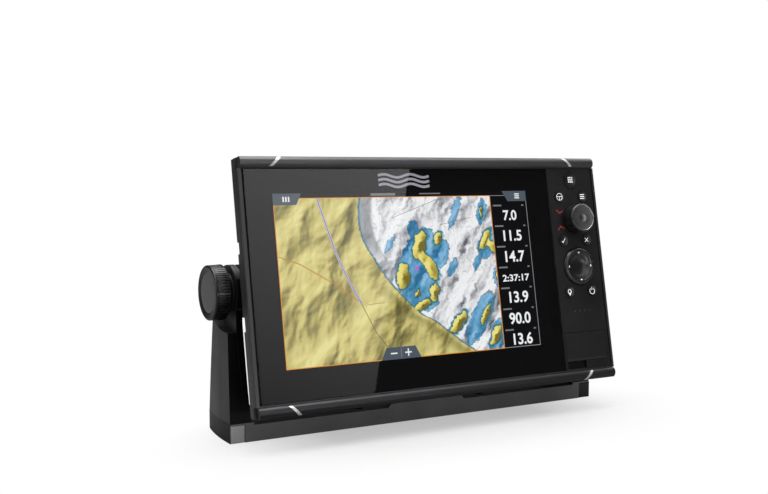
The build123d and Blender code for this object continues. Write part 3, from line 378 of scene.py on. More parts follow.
def chart_material():
    """Relief-shaded sea chart: yellow land, pale sea floor, blue shallows and fine depth lines."""
    g = Graph("chart")
    offset = g.vector("SUBTRACT", g.coords, tuple(GLASS))
    across = g.vector("DOT_PRODUCT", offset, tuple(ACROSS), "Value")
    upward = g.vector("DOT_PRODUCT", offset, tuple(UPWARD), "Value")
    x = g.math("SUBTRACT", g.math("MULTIPLY", across, 1 / MM), SCREEN_X)
    y = g.math("SUBTRACT", g.math("MULTIPLY", upward, 1 / MM), SCREEN_V)
    flat = g.node("ShaderNodeCombineXYZ", {}, {"X": x, "Y": y})
    rough = {"Vector": flat, "Scale": 0.22, "Detail": 4.0, "Roughness": 0.6}
    ragged = g.node("ShaderNodeTexNoise", {}, rough, 1)
    wobble = g.vector("MULTIPLY", g.vector("SUBTRACT", ragged, (0.5, 0.5, 0.5)), (7.0, 7.0, 0.0))
    place = g.vector("ADD", flat, wobble)

    inland = g.math("MULTIPLY", g.math("SUBTRACT", x, coast_curve(g, y)), 0.86)
    jitter = g.math("MULTIPLY", g.math("SUBTRACT", g.noise(flat, 0.5, 4.0, 0.6), 0.5), 3.0)
    inland = g.math("ADD", inland, jitter)
    isles = blob_field(g, place, ISLANDS)
    banks = blob_field(g, place, BANKS)
    shore = g.math("MINIMUM", inland, isles)

    land_light, land_height = hillshade(g, flat, 62.0, 1.5, 0.042, 3.0, 1.2, 9.0)
    fine_light = hillshade(g, flat, 35.0, 1.4, 0.26, 9.0, 0.5, 2.2)[0]
    both = g.math("ADD", g.math("MULTIPLY", land_light, 0.80), g.math("MULTIPLY", fine_light, 0.20))
    land = g.ramp(both, [(0.14, (0.15, 0.135, 0.05)), (0.38, (0.42, 0.36, 0.12)),
                         (0.52, (0.66, 0.57, 0.20)), (0.80, (0.84, 0.76, 0.32))])
    land = g.mix(g.remap(land_height, 0.34, 0.52), g.mix(0.30, land, (0.20, 0.18, 0.06)), land)
    bluff = g.math("MULTIPLY", g.remap(inland, -15.0, -8.0), g.remap(inland, -5.0, -2.5, 1.0, 0.0))
    bluff = g.math("MULTIPLY", bluff, g.remap(y, -14.0, -4.0, 0.42, 0.0))
    land = g.mix(bluff, land, (0.10, 0.085, 0.02))
    downhill = blob_field(g, g.vector("ADD", place, (1.0, -0.8, 0.0)), ISLANDS)
    slope = g.math("MULTIPLY", g.math("SUBTRACT", downhill, isles), 0.55)
    sunlit = g.math("SUBTRACT", 0.62, slope)
    islet = g.ramp(sunlit, [(0.05, (0.20, 0.16, 0.03)), (0.35, (0.55, 0.46, 0.09)),
                            (0.62, (0.78, 0.67, 0.15)), (1.0, (0.90, 0.80, 0.26))])
    land = g.mix(g.remap(g.math("SUBTRACT", inland, isles), -0.5, 0.5), land, islet)

    sea_light, sea_height = hillshade(g, place, 58.0, 1.7, 0.060, 17.0, 1.0, 9.0)
    sea_fine, fine_floor = hillshade(g, place, 70.0, 1.5, 0.24, 23.0, 0.5, 2.4)
    seabed = g.math("ADD", g.math("MULTIPLY", sea_light, 0.82), g.math("MULTIPLY", sea_fine, 0.18))
    sea = g.ramp(seabed, [(0.04, (0.13, 0.13, 0.15)), (0.26, (0.46, 0.46, 0.49)),
                          (0.46, (0.78, 0.78, 0.79)), (0.66, (0.94, 0.94, 0.95))])
    shelf = g.remap(inland, 7.5, 9.0, 1.0, 0.0)
    shelf = g.math("MULTIPLY", shelf, g.remap(y, 2.0, 22.0))
    sea = g.mix(g.math("MULTIPLY", shelf, 0.75), sea, (0.25, 0.25, 0.27))
    shallow = g.ramp(seabed, [(0.15, (0.03, 0.16, 0.32)), (0.5, (0.13, 0.37, 0.60)),
                              (0.85, (0.30, 0.56, 0.78))])
    sea = g.mix(g.remap(banks, -0.25, 0.25, 1.0, 0.0), sea, shallow)

    drying = g.math("MULTIPLY", g.remap(isles, 0.0, 1.3, 1.0, 0.0), g.remap(fine_floor, 0.52, 0.58))
    sea = g.mix(drying, sea, (0.20, 0.34, 0.02))
    picture = g.mix(g.remap(shore, -0.12, 0.12, 1.0, 0.0), sea, land)
    edge = g.math("ABSOLUTE", shore)
    picture = g.mix(g.remap(edge, 0.26, 0.52, 0.95, 0.0), picture, (0.02, 0.09, 0.11))
    tint = g.math("MULTIPLY", g.remap(shore, 0.5, 1.4, 1.0, 0.0), g.remap(shore, 0.0, 0.1))
    picture = g.mix(g.math("MULTIPLY", tint, 0.8), picture, (0.05, 0.28, 0.46))
    bank_line = g.remap(g.math("ABSOLUTE", banks), 0.12, 0.42, 0.7, 0.0)
    bank_edge = g.math("MULTIPLY", bank_line, g.remap(shore, 0.0, 0.3))
    picture = g.mix(bank_edge, picture, (0.07, 0.16, 0.24))
    contour = g.math("PINGPONG", g.math("MULTIPLY", sea_height, 9.0), 0.5)
    lines = g.math("MULTIPLY", g.remap(contour, 0.012, 0.035, 0.5, 0.0), g.remap(shore, 0.6, 1.0))
    picture = g.mix(lines, picture, (0.20, 0.18, 0.20))

    g.principled(Base_Color=(0.0, 0.0, 0.0), Roughness=0.4, Specular_IOR_Level=0.0,
                 Emission_Color=picture, Emission_Strength=1.0)
    return g.material


# ---- mesh helpers -------------------------------------------------------------------------------
def add_mesh(name, mesh, material, body):
    """Link a mesh as a piece that rides on a body."""
    piece = bpy.data.objects.new(name, mesh)
    bpy.context.scene.collection.objects.link(piece)
    mesh.materials.clear()
    mesh.materials.append(material)
    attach(piece, body)
    return piece


def from_curve(name, curve, matrix):
    """The mesh of a curve or text, moved by a matrix."""
    holder = bpy.data.objects.new(name, curve)
    bpy.context.scene.collection.objects.link(holder)
    bpy.context.view_layer.update()
    graph = bpy.context.evaluated_depsgraph_get()
    mesh = bpy.data.meshes.new_from_object(holder.evaluated_get(graph))
    mesh.name = name
    mesh.transform(matrix)
    bpy.data.objects.remove(holder)
    return mesh


def ring(x, v, radius, count=40, start=0.0, end=360.0):
    """Points on a circle, or on part of one."""
    whole = end - start >= 360.0
    steps = count if whole else count - 1
    turns = [math.radians(start + (end - start) * i / steps) for i in range(count)]
    return [(x + radius * math.cos(turn), v + radius * math.sin(turn)) for turn in turns]


def bar_outline(x, v, width, height):
    """Corners of a rectangle about a centre."""
    return [(x - width / 2, v - height / 2), (x + width / 2, v - height / 2),
            (x + width / 2, v + height / 2), (x - width / 2, v + height / 2)]


def stroke(points, width):
    """Outline of an open line drawn with a pen of that width."""
    left, right = [], []
    for i, (x, v) in enumerate(points):
        before = Vector(points[max(i - 1, 0)])
        after = Vector(points[min(i + 1, len(points) - 1)])
        run_in = (Vector((x, v)) - before).normalized() if i else (after - Vector((x, v))).normalized()
        run_out = (after - Vector((x, v))).normalized() if i < len(points) - 1 else run_in
        tangent = (run_in + run_out).normalized()
        side = Vector((-tangent.y, tangent.x)) * width / 2 / max(0.5, tangent.dot(run_in))
        left.append((x + side.x, v + side.y))
        right.append((x - side.x, v - side.y))
    return left + right[::-1]


def flat_mesh(name, outlines, w, thickness):
    """A thin plate on the head's face; an outline inside another one is a hole."""
    curve = bpy.data.curves.new(name, "CURVE")
    curve.dimensions = "2D"
    curve.fill_mode = "BOTH"
    curve.extrude = thickness / 2
    for outline in outlines:
        spline = curve.splines.new("POLY")
        spline.points.add(len(outline) - 1)
        for point, (x, v) in zip(spline.points, outline):
            point.co = (x, v, 0.0, 1.0)
        spline.use_cyclic_u = True
    return from_curve(name, curve, FACE @ Matrix.Translation((0, 0, w)))


def plate(name, outlines, w, material, body="head", thickness=0.04):
    """A thin printed or fitted shape that rides on a body."""
    return add_mesh(name, flat_mesh(name, outlines, w, thickness), material, body)


def numeral(name, words, x, v, height, material, w, squeeze=0.8, weight=0.022):
    """Numbers on the screen, centred on x and standing on v."""
    text = bpy.data.curves.new(name, "FONT")
    text.body = words
    text.align_x = "CENTER"
    text.size = 1.0
    text.offset = weight
    text.extrude = 0.01
    size = height / 0.70
    shrink = Matrix.Diagonal((size * squeeze, size, 1.0, 1.0))
    mesh = from_curve(name, text, FACE @ Matrix.Translation((x, v, w)) @ shrink)
    return add_mesh(name, mesh, material, "head")


def lathe(name, profile, centre, material, body, segments=96):
    """A ring or cap turned about a control's centre, from (radius, w) pairs."""
    mesh = bpy.data.meshes.new(name)
    bm = bmesh.new()
    rows = []
    for i in range(segments):
        turn = 2 * math.pi * i / segments
        c, s = math.cos(turn), math.sin(turn)
        rows.append([bm.verts.new(on_face(centre[0] + r * c, centre[1] + r * s, w)) for r, w in profile])
    for i in range(segments):
        one, two = rows[i], rows[(i + 1) % segments]
        for j in range(len(profile)):
            k = (j + 1) % len(profile)
            bm.faces.new((one[j], two[j], two[k], one[k]))
    bmesh.ops.recalc_face_normals(bm, faces=bm.faces)
    for face in bm.faces:
        face.smooth = True
    bm.to_mesh(mesh)
    bm.free()
    return add_mesh(name, mesh, material, body)


# ---- materials of the CAD nodes -----------------------------------------------------------------
BAR_STREAKS = (30.0, 1600.0, 1600.0)
MATERIALS = {
    "bracket_plastic": plastic("bracket_plastic", (0.007, 0.007, 0.0075), 0.42, grain=2200),
    "cap_gloss": plastic("cap_gloss", (0.004, 0.004, 0.0045), 0.16, grain=900, depth=0.00001,
                         specular=0.35, coat=0.1),
    "screw_steel": metal("screw_steel", (0.60, 0.60, 0.58), 0.30),
    "pad_rubber": plastic("pad_rubber", (0.018, 0.018, 0.018), 0.85, grain=1400),
    "ratchet_nylon": plastic("ratchet_nylon", (0.006, 0.006, 0.0065), 0.40),
    "knob_rubber": plastic("knob_rubber", (0.0015, 0.0015, 0.0016), 0.22, grain=2400, depth=0.00001,
                           specular=0.34),
    "knob_disc": plastic("knob_disc", (0.052, 0.052, 0.054), 0.42, grain=1800, depth=0.00003),
    "nickel": metal("nickel", (0.55, 0.54, 0.51), 0.24),
    "brass": metal("brass", (0.74, 0.55, 0.27), 0.28),
    "bezel_plastic": plastic("bezel_plastic", (0.011, 0.011, 0.0115), 0.36, grain=2400, depth=0.00002),
    "cover_glass": clear_glass("cover_glass"),
    "mask_ink": plastic("mask_ink", (0.0028, 0.0028, 0.0032), 0.5, grain=1200, depth=0.000001,
                        mottle=0.1, specular=0.0),
    "foam_black": plastic("foam_black", (0.0028, 0.0028, 0.0030), 0.95, grain=1600, depth=0.00002,
                          mottle=0.1, specular=0.0),
    "lcd": plastic("lcd", (0.004, 0.005, 0.006), 0.35, grain=4200, depth=0.00001),
    "tray_aluminium": metal("tray_aluminium", (0.62, 0.63, 0.65), 0.36),
    "bar_satin": metal("bar_satin", (0.060, 0.060, 0.063), 0.34, stretch=BAR_STREAKS, metallic=0.7),
    "inlay_silver": metal("inlay_silver", (0.50, 0.50, 0.505), 0.42, depth=0.00001, metallic=0.6),
    "keypad_satin": plastic("keypad_satin", (0.005, 0.005, 0.0053), 0.36, grain=2600, depth=0.00001,
                            specular=0.28),
    "silicone": plastic("silicone", (0.022, 0.022, 0.023), 0.62, grain=1800),
    "circuit_board": circuit("circuit_board", (0.012, 0.10, 0.045)),
    "key_plastic": plastic("key_plastic", (0.006, 0.006, 0.0065), 0.24, grain=2600, depth=0.00001),
    "encoder_plastic": plastic("encoder_plastic", (0.030, 0.036, 0.045), 0.5),
    "shaft_steel": metal("shaft_steel", (0.56, 0.56, 0.55), 0.25),
    "dial_cap": turned_metal("dial_cap", (0.155, 0.155, 0.16), 0.30, on_face(*DIAL), OUTWARD),
    "housing_plastic": plastic("housing_plastic", (0.012, 0.012, 0.013), 0.50, grain=1500,
                               depth=0.00006),
    "sink_aluminium": metal("sink_aluminium", (0.050, 0.050, 0.053), 0.42, metallic=0.8),
    "plate_aluminium": metal("plate_aluminium", (0.60, 0.60, 0.62), 0.40),
    "insert_plastic": plastic("insert_plastic", (0.020, 0.020, 0.021), 0.55),
    "contact_gold": metal("contact_gold", (0.86, 0.66, 0.26), 0.20),
    "vent_plastic": plastic("vent_plastic", (0.060, 0.060, 0.063), 0.6),
}
for subpart in frame["record"]["subparts"]:
    node = frame["nodes"][subpart["node"]]
    node.data.materials.clear()
    node.data.materials.append(MATERIALS[subpart["material_slot"]])


def repaint(node_name, material, chosen):
    """Give a second material to the faces of a CAD node that a test picks out."""
    mesh = frame["nodes"][node_name].data
    mesh.materials.append(material)
    place = len(mesh.materials) - 1
    for face in mesh.polygons:
        if chosen(face):
            face.material_index = place


# painted light and shade: the base's front is painted a pale satin as if lit, its top black for the shadow
# under the head and its sides dark; one corner cap is painted paler than the other as a painted reflection;
# the arms' fronts, the finger recess and the lower bar are painted darker than the parts round them, as
# painted shade
# painted shade: a near-black with little sheen, laid on faces where shade falls
PAINTED_SHADE = plastic("painted_shade_black", (0.0016, 0.0016, 0.0017), 0.40, grain=2200, depth=0.00002, specular=0.10)
BASE_TOP_Z = 0.008
# painted light: the base's front faces get a pale colour as if lit from the front
repaint("bracket_base", plastic("base_front_painted_light", (0.066, 0.066, 0.068), 0.40, grain=2200, depth=0.00003),
        lambda face: face.normal.y < -0.95)
# painted shadow: the base's top under the head is painted black
repaint("bracket_base", PAINTED_SHADE, lambda face: face.normal.z > 0.9 and face.center.z > BASE_TOP_Z)
# painted shade: the base's side faces get a darker colour than its front
repaint("bracket_base", plastic("base_side_painted_shade", (0.0026, 0.0026, 0.0028), 0.42, grain=2200, specular=0.24),
        lambda face: abs(face.normal.x) > 0.4)
# painted reflection: the left corner cap is painted paler than the right one
repaint("base_caps", plastic("cap_pale_painted_reflection", (0.23, 0.23, 0.235), 0.16, grain=900, depth=0.00001, coat=0.5),
        lambda face: face.center.x < 0)
# painted shade: the arms' front faces are painted black
for arm_name in ("bracket_arm_left", "bracket_arm_right"):
    repaint(arm_name, PAINTED_SHADE, lambda face: face.normal.y < -0.85)


def in_recess(face):
    """Whether a face of the keypad panel lies in the finger recess under the door."""
    x, v, w = FACE_INVERSE @ face.center
    return x < 117.6 and -73.5 < v < -66.0 and w < -0.2


# painted shade: the finger recess under the door is painted black
repaint("keypad_panel", PAINTED_SHADE, in_recess)
# painted shade: the lower trim bar is a darker copy of the bar metal
repaint("trim_bars", metal("bar_lower_painted_shade", (0.024, 0.024, 0.026), 0.30, stretch=BAR_STREAKS, metallic=0.8),
        lambda face: (FACE_INVERSE @ face.center).y < 0)

# soft edges on the mouldings and castings, as a radius in millimetres
EDGE_RADII = {
    "bracket_base": 0.7, "bracket_arm_left": 0.7, "bracket_arm_right": 0.7, "front_frame": 0.45,
    "trim_bars": 0.12, "keypad_panel": 0.25, "card_door": 0.2, "knob_grip_left": 0.15,
    "knob_grip_right": 0.15, "rear_housing": 0.5, "base_caps": 0.3, "service_cover": 0.4,
    "rotary_knob": 0.15,
}
EDGE_RADII.update({f"key_{name}": 0.3 for name in [*KEYS, "pages"]})
for name, radius in EDGE_RADII.items():
    weld = frame["nodes"][name].modifiers.new("weld", "WELD")
    weld.merge_threshold = 0.000005
    bevel = frame["nodes"][name].modifiers.new("edges", "BEVEL")
    bevel.width = radius * MM
    bevel.segments = 2
    bevel.limit_method = "ANGLE"
    bevel.angle_limit = math.radians(38)
    bevel.use_clamp_overlap = True
    tidy = frame["nodes"][name].modifiers.new("normals", "WEIGHTED_NORMAL")
    tidy.keep_sharp = True

# ---- screen -------------------------------------------------------------------------------------
CHART_RIGHT = 68.0
CHART_TOP = 53.0
LAYER = 0.02
SCREEN_W0 = -1.74


def chart_xy(x, y):
    """Face coordinates of a point of the screen, measured from the screen's centre."""
    return (SCREEN_X + x, SCREEN_V + y)


def screen_rect(left, right, bottom, top):
    """Outline of a rectangle of the screen."""
    return [chart_xy(left, bottom), chart_xy(right, bottom), chart_xy(right, top), chart_xy(left, top)]


def screen_shape(points):
    """Outline from points of the screen."""
    return [chart_xy(x, y) for x, y in points]


half_w = SCREEN_W / 2
half_h = SCREEN_H / 2
INK = {
    "orange": screen_ink("screen_orange", (0.80, 0.30, 0.03)),
    "slate": screen_ink("screen_slate", (0.085, 0.105, 0.13)),
    "white": screen_ink("screen_white", (0.92, 0.93, 0.93)),
    "grey": screen_ink("screen_grey", (0.30, 0.31, 0.32)),
    "panel": screen_ink("screen_panel", (0.004, 0.004, 0.005)),
    "lilac": screen_ink("screen_lilac", (0.20, 0.13, 0.40)),
    "brown": screen_ink("screen_brown", (0.58, 0.25, 0.04)),
    "dark": screen_ink("screen_dark", (0.16, 0.12, 0.07)),
    "magenta": screen_ink("screen_magenta", (0.80, 0.10, 0.75)),
    "label": screen_ink("screen_label", (0.20, 0.20, 0.205)),
}


def lit(name, outlines, level, ink):
    """A flat lit shape on one of the screen's layers."""
    return plate(name, outlines, SCREEN_W0 + level * LAYER, INK[ink], thickness=0.004)


plate("chart_picture", [screen_rect(-half_w, CHART_RIGHT, -half_h, CHART_TOP)], SCREEN_W0,
      chart_material(), thickness=0.004)
lit("data_column", [screen_rect(CHART_RIGHT, half_w, -half_h, half_h)], 0, "panel")
lit("status_strip", [screen_rect(-half_w, CHART_RIGHT, CHART_TOP, half_h)], 0, "panel")
lit("chart_border", [
    screen_rect(-half_w, CHART_RIGHT, -half_h, CHART_TOP),
    screen_rect(-half_w + 0.55, CHART_RIGHT - 0.55, -half_h + 0.55, CHART_TOP - 0.45),
], 2, "orange")
lit("data_border", [
    screen_rect(CHART_RIGHT + 0.2, half_w - 0.1, -half_h + 0.1, CHART_TOP),
    screen_rect(CHART_RIGHT + 0.25, half_w - 0.55, -half_h + 0.55, CHART_TOP - 0.35),
], 1, "grey")

ROUTE = ((-68.6, 52.5), (-64.0, 36.8), (-58.7, 18.3), (-52.1, 1.5), (-42.6, -17.5))
ROUTE_ON = ((-42.6, -17.5), (-33.2, -37.5), (-25.7, -47.5))
ROAD = ((-98.6, 15.3), (-84.5, 10.2), (-71.3, 2.4), (-57.9, -5.6), (-48.4, -12.5), (-42.6, -17.5))
lit("route_edge", [stroke(screen_shape(ROUTE), 1.9)], 1, "dark")
lit("route_fill", [stroke(screen_shape(ROUTE), 1.45)], 2, "white")
lit("route_line", [stroke(screen_shape(ROUTE), 0.80)], 3, "lilac")
lit("route_on", [stroke(screen_shape(ROUTE_ON), 0.45)], 1, "dark")
lit("road_line", [stroke(screen_shape(ROAD), 0.62)], 1, "brown")
THIN_LINES = (
    ((-50.5, 5.0), (-41.0, 9.5)), ((-37.5, -18.6), (-25.0, -18.0)), ((-34.5, -30.0), (-7.0, -20.5)),
    ((-14.0, 38.5), (9.0, 46.0), (24.0, 51.0)), ((24.0, 33.0), (50.0, 37.5)),
)
lit("chart_lines", [stroke(screen_shape(points), 0.28) for points in THIN_LINES], 1, "dark")
lit("chart_mark", [ring(*chart_xy(2.0, 3.6), 1.25)], 2, "magenta")

TABS = {
    "tab_top_left": ((-half_w, half_h), (-79.3, half_h), (-83.4, 48.5), (-half_w, 48.5)),
    "tab_top_right": ((78.7, half_h), (half_w, half_h), (half_w, 48.6), (83.1, 48.6)),
    "tab_bottom": ((-31.3, -half_h), (-26.8, -48.0), (-4.6, -48.0), (-0.6, -half_h)),
}
for name, corners in TABS.items():
    lit(name, [screen_shape(corners)], 3, "slate")
lit("tab_marks", [
    *[bar_outline(*chart_xy(-90.4 + i * 1.9, 52.2), 1.0, 3.4) for i in (-1, 0, 1)],
    *[bar_outline(*chart_xy(91.6, 52.4 + i * 1.45), 4.0, 0.8) for i in (-1, 0, 1)],
    bar_outline(*chart_xy(-21.4, -52.0), 5.0, 0.9),
    screen_shape((
        (-12.9, -51.55), (-10.85, -51.55), (-10.85, -49.5), (-9.95, -49.5), (-9.95, -51.55),
        (-7.9, -51.55), (-7.9, -52.45), (-9.95, -52.45), (-9.95, -54.5), (-10.85, -54.5),
        (-10.85, -52.45), (-12.9, -52.45),
    )),
], 4, "white")
lit("tab_divider", [bar_outline(*chart_xy(-15.9, -52.0), 0.3, 6.6)], 4, "grey")

READINGS = (
    ("7.0", 38.55, 6.9), ("11.5", 23.85, 7.4), ("14.7", 8.85, 7.6), ("2:37:17", -6.6, 4.6),
    ("13.9", -20.3, 7.6), ("90.0", -35.45, 7.6), ("13.6", -50.1, 7.6),
)
READING_X = 83.7
READING_SQUEEZE = 1.0
TIME_SQUEEZE = 1.2
for i, (words, middle, height) in enumerate(READINGS):
    numeral(f"reading_{i + 1}", words, *chart_xy(READING_X, middle - height / 2), height, INK["white"],
            SCREEN_W0 + 2 * LAYER, squeeze=TIME_SQUEEZE if ":" in words else READING_SQUEEZE)

# plain bars stand in for each reading's label and unit, and for the words of the status strip
LABEL_X = 73.6
UNIT_X = 95.8
LABEL_TOP = 45.6
ROW_PITCH = 14.85
label_bars = []
for i in range(len(READINGS)):
    level = LABEL_TOP - ROW_PITCH * i
    label_bars.append(bar_outline(*chart_xy(LABEL_X, level), 7.4, 1.1))
    label_bars.append(bar_outline(*chart_xy(UNIT_X, level), 2.0, 1.0))
lit("label_bars", label_bars, 2, "label")
lit("status_bars", [
    bar_outline(*chart_xy(-19.0, 54.7), 19.0, 1.7),
    bar_outline(*chart_xy(18.0, 54.9), 17.0, 0.8),
], 2, "label")

# ---- keypad graphics ----------------------------------------------------------------------------
WHITE_INK = printed("icon_white", (0.80, 0.80, 0.80), glow=0.35)
DIM_INK = printed("icon_dim", (0.10, 0.10, 0.105))
RED_INK = printed("icon_red", (0.32, 0.008, 0.014), glow=0.22)
# painted light: the printed wave mark's grey ink glows though nothing lights it from behind
GREY_INK = printed("mark_grey_painted_glow", (0.26, 0.255, 0.29), glow=0.25, rough=0.4)


def dish(mesh, centre, sphere_radius, sphere_height, lift=0.03):
    """Lay a flat print on a key's dished top, keeping its thickness."""
    for vertex in mesh.vertices:
        place = FACE_INVERSE @ vertex.co
        reach = math.hypot(place.x - centre[0], place.y - centre[1])
        surface = sphere_height - math.sqrt(sphere_radius ** 2 - reach ** 2)
        vertex.co = on_face(place.x, place.y, surface + lift + place.z)


def icon(name, outlines, centre, body, sphere=(18.0, 18.1)):
    """A white symbol printed on a key."""
    moved = [[(centre[0] + x, centre[1] + v) for x, v in outline] for outline in outlines]
    mesh = flat_mesh(name, moved, 0.0, 0.04)
    dish(mesh, centre, *sphere)
    return add_mesh(name, mesh, WHITE_INK, body)


grid = [bar_outline(1.62 * i, 1.62 * j, 1.0, 1.0) for i in (-1, 0, 1) for j in (-1, 0, 1)]
icon("icon_pages", grid, PAGES_KEY, "button_pages", sphere=(28.0, 28.1))
rim = [ring(0, 0, 2.75), ring(0, 0, 2.35)]
icon("icon_helm", rim, KEYS["helm"], "button_helm")
spokes = [bar_outline(0, 0.2, 4.7, 0.4), bar_outline(0, -1.15, 0.4, 2.3)]
icon("icon_helm_spokes", spokes, KEYS["helm"], "button_helm")
lines = [bar_outline(0, 1.45 * i, 3.9, 0.65) for i in (-1, 0, 1)]
icon("icon_menu", lines, KEYS["menu"], "button_menu")
tick = [stroke([(-1.6, -0.3), (-0.6, -1.4), (1.6, 1.6)], 0.5)]
icon("icon_enter", tick, KEYS["enter"], "button_enter")
icon("icon_exit", [stroke([(-1.4, -1.4), (1.4, 1.4)], 0.5)], KEYS["exit"], "button_exit")
icon("icon_exit_cross", [stroke([(-1.4, 1.4), (1.4, -1.4)], 0.5)], KEYS["exit"], "button_exit")
pin = ring(0, 0.2, 1.70, 24, -28, 208) + [(0, -2.9)]
icon("icon_mark", [pin, ring(0, 0.2, 1.12, 20)], KEYS["mark"], "button_mark")
arc = ring(0, -0.5, 2.4, 30, 125, 415) + ring(0, -0.5, 1.98, 30, 125, 415)[::-1]
icon("icon_power", [arc, bar_outline(0, 1.3, 0.42, 2.4)], KEYS["power"], "button_power")

arrows = []
for turn in (0, 90, 180, 270):
    c, s = math.cos(math.radians(turn)), math.sin(math.radians(turn))
    tip = [(11.1, 0.0), (9.7, 0.95), (9.7, -0.95)]
    arrows.append([(DPAD[0] + c * x - s * v, DPAD[1] + s * x + c * v) for x, v in tip])
arrow_mesh = flat_mesh("dpad_arrows", arrows, 0.0, 0.04)
for vertex in arrow_mesh.vertices:
    spot = FACE_INVERSE @ vertex.co
    reach = math.hypot(spot.x - DPAD[0], spot.y - DPAD[1])
    vertex.co = on_face(spot.x, spot.y, spot.z + 1.17 + (reach - 8.2) * 0.21)
add_mesh("dpad_arrows", arrow_mesh, WHITE_INK, "dpad_top")

chevrons = [stroke([(104.2, 43.6), (106.9, 41.2), (110.2, 42.6)], 0.62),
            stroke([(104.2, 28.6), (107.1, 31.4), (110.6, 29.2)], 0.62)]
plate("zoom_marks", chevrons, 0.02, RED_INK)
dots = [ring(112.0 + 4.6 * i, -31.6, 0.32, 16) for i in range(4)]
plate("status_dots", dots, 0.02, DIM_INK)

# a generic mark of three waves above the screen
MARK_HALF = 20
MARK_X = SCREEN_X - 1.6
MARK_V = SCREEN_V + 64.0
wave = []
for row in (-3.3, 0.0, 3.3):
    points = [(x, row + 1.1 * math.sin(x / 3.3)) for x in range(-MARK_HALF, MARK_HALF + 1)]
    wave.append(stroke([(MARK_X + x, MARK_V + v) for x, v in points], 1.7))
plate("wave_mark", wave, -1.56, GREY_INK, thickness=0.02)

# ---- fitted trim --------------------------------------------------------------------------------
BRIGHT = metal("bright_rim", (0.72, 0.72, 0.73), 0.16)
RIM_PROFILE = ((9.05, 9.84), (9.12, 10.08), (9.28, 10.13), (9.45, 10.06), (9.55, 9.9), (9.3, 9.78))
lathe("dial_rim", RIM_PROFILE, DIAL, BRIGHT, "dial")
rib_outlines = [bar_outline(127.4, -68.9 - 0.62 * i, 18.2, 0.3) for i in range(8)]
plate("grip_ribs", rib_outlines, 0.12, MATERIALS["keypad_satin"], thickness=0.24)

# ---- floor, lights and camera -------------------------------------------------------------------
WHITE_FROM = 0.05
WHITE_BY = 0.125


def floor_material():
    """Pale studio floor with a soft sheen, brightening to white away from the object; the grey close about
    the object is partly painted shade and partly its real shadow.

    Looked at directly it is that floor; to lights and reflections it is a dim one, so that the black
    plastics don't turn grey.
    """
    g = Graph("studio_floor")
    spot = g.vector("SUBTRACT", g.coords, (0.0, -0.05, 0.0))
    radius = g.vector("LENGTH", g.scale(spot, (0.60, 1.0, 1.0)), output="Value")
    cloud = g.noise(g.coords, 3.0, 2.0)
    shade = g.ramp(cloud, [(0.3, (0.59, 0.59, 0.59)), (0.7, (0.61, 0.61, 0.61))])
    sheen = g.remap(cloud, 0.3, 0.7, 0.10, 0.14)
    near = g.node("ShaderNodeBsdfPrincipled", {}, {"Base Color": shade, "Roughness": sheen})
    far = g.node("ShaderNodeEmission", {}, {"Color": (1.0, 1.0, 1.0, 1.0), "Strength": 1.0})
    shaded = g.mix(0.65, shade, (0.0, 0.0, 0.0))
    dim = g.node("ShaderNodeBsdfPrincipled", {}, {"Base Color": shaded, "Roughness": 0.5})
    seen = g.tree.nodes.new("ShaderNodeMixShader")
    # painted shade: a grey halo about the object, fading to white between WHITE_FROM and WHITE_BY
    painted_halo_fade = g.remap(radius, WHITE_FROM, WHITE_BY, 0.45, 1.0)
    for socket, value in zip(seen.inputs, (painted_halo_fade, near, far)):
        g.feed(socket, value)
    shader = g.tree.nodes.new("ShaderNodeMixShader")
    direct = g.node("ShaderNodeLightPath", {}, {}, "Is Camera Ray")
    for socket, value in zip(shader.inputs, (direct, dim, seen.outputs[0])):
        g.feed(socket, value)
    g.tree.links.new(shader.outputs[0], g.out.inputs[0])
    return g.material


def rectangle_mesh(name, half_width, half_height, material):
    """A flat rectangle about its own centre."""
    mesh = bpy.data.meshes.new(name)
    corners = [(-half_width, -half_height, 0), (half_width, -half_height, 0),
               (half_width, half_height, 0), (-half_width, half_height, 0)]
    mesh.from_pydata(corners, [], [(0, 1, 2, 3)])
    mesh.materials.append(material)
    return mesh


FLOOR_HALF = 14.0
floor_mesh = rectangle_mesh("studio_floor", FLOOR_HALF, FLOOR_HALF, floor_material())
floor = bpy.data.objects.new("studio_floor", floor_mesh)
floor.location.z = cad_box[0][2] - 0.0002
bpy.context.scene.collection.objects.link(floor)


def softbox(name, place, target, size, power):
    """A rectangular studio light aimed at a point."""
    light = bpy.data.lights.new(name, "AREA")
    light.shape = "RECTANGLE"
    light.size, light.size_y = size
    light.energy = power
    lamp = bpy.data.objects.new(name, light)
    bpy.context.scene.collection.objects.link(lamp)
    aim = (Vector(target) - Vector(place)).to_track_quat("-Z", "Y")
    lamp.matrix_world = Matrix.Translation(place) @ aim.to_matrix().to_4x4()
    return lamp


# the card whose edge shows in the glass: its right edge runs through two points of the plane y = -1.5
EDGE_TOP = Vector((0.917, -1.5, 0.751))
EDGE_FOOT = Vector((0.714, -1.5, 0.220))
edge = (EDGE_TOP - EDGE_FOOT).normalized()
CARD_SIZE = (1.5, 1.9)
facing = Vector((0, -1, 0))
leftward = edge.cross(facing).normalized()
if leftward.x > 0:
    leftward = -leftward
centre = EDGE_FOOT.lerp(EDGE_TOP, 0.5) + leftward * CARD_SIZE[0] / 2


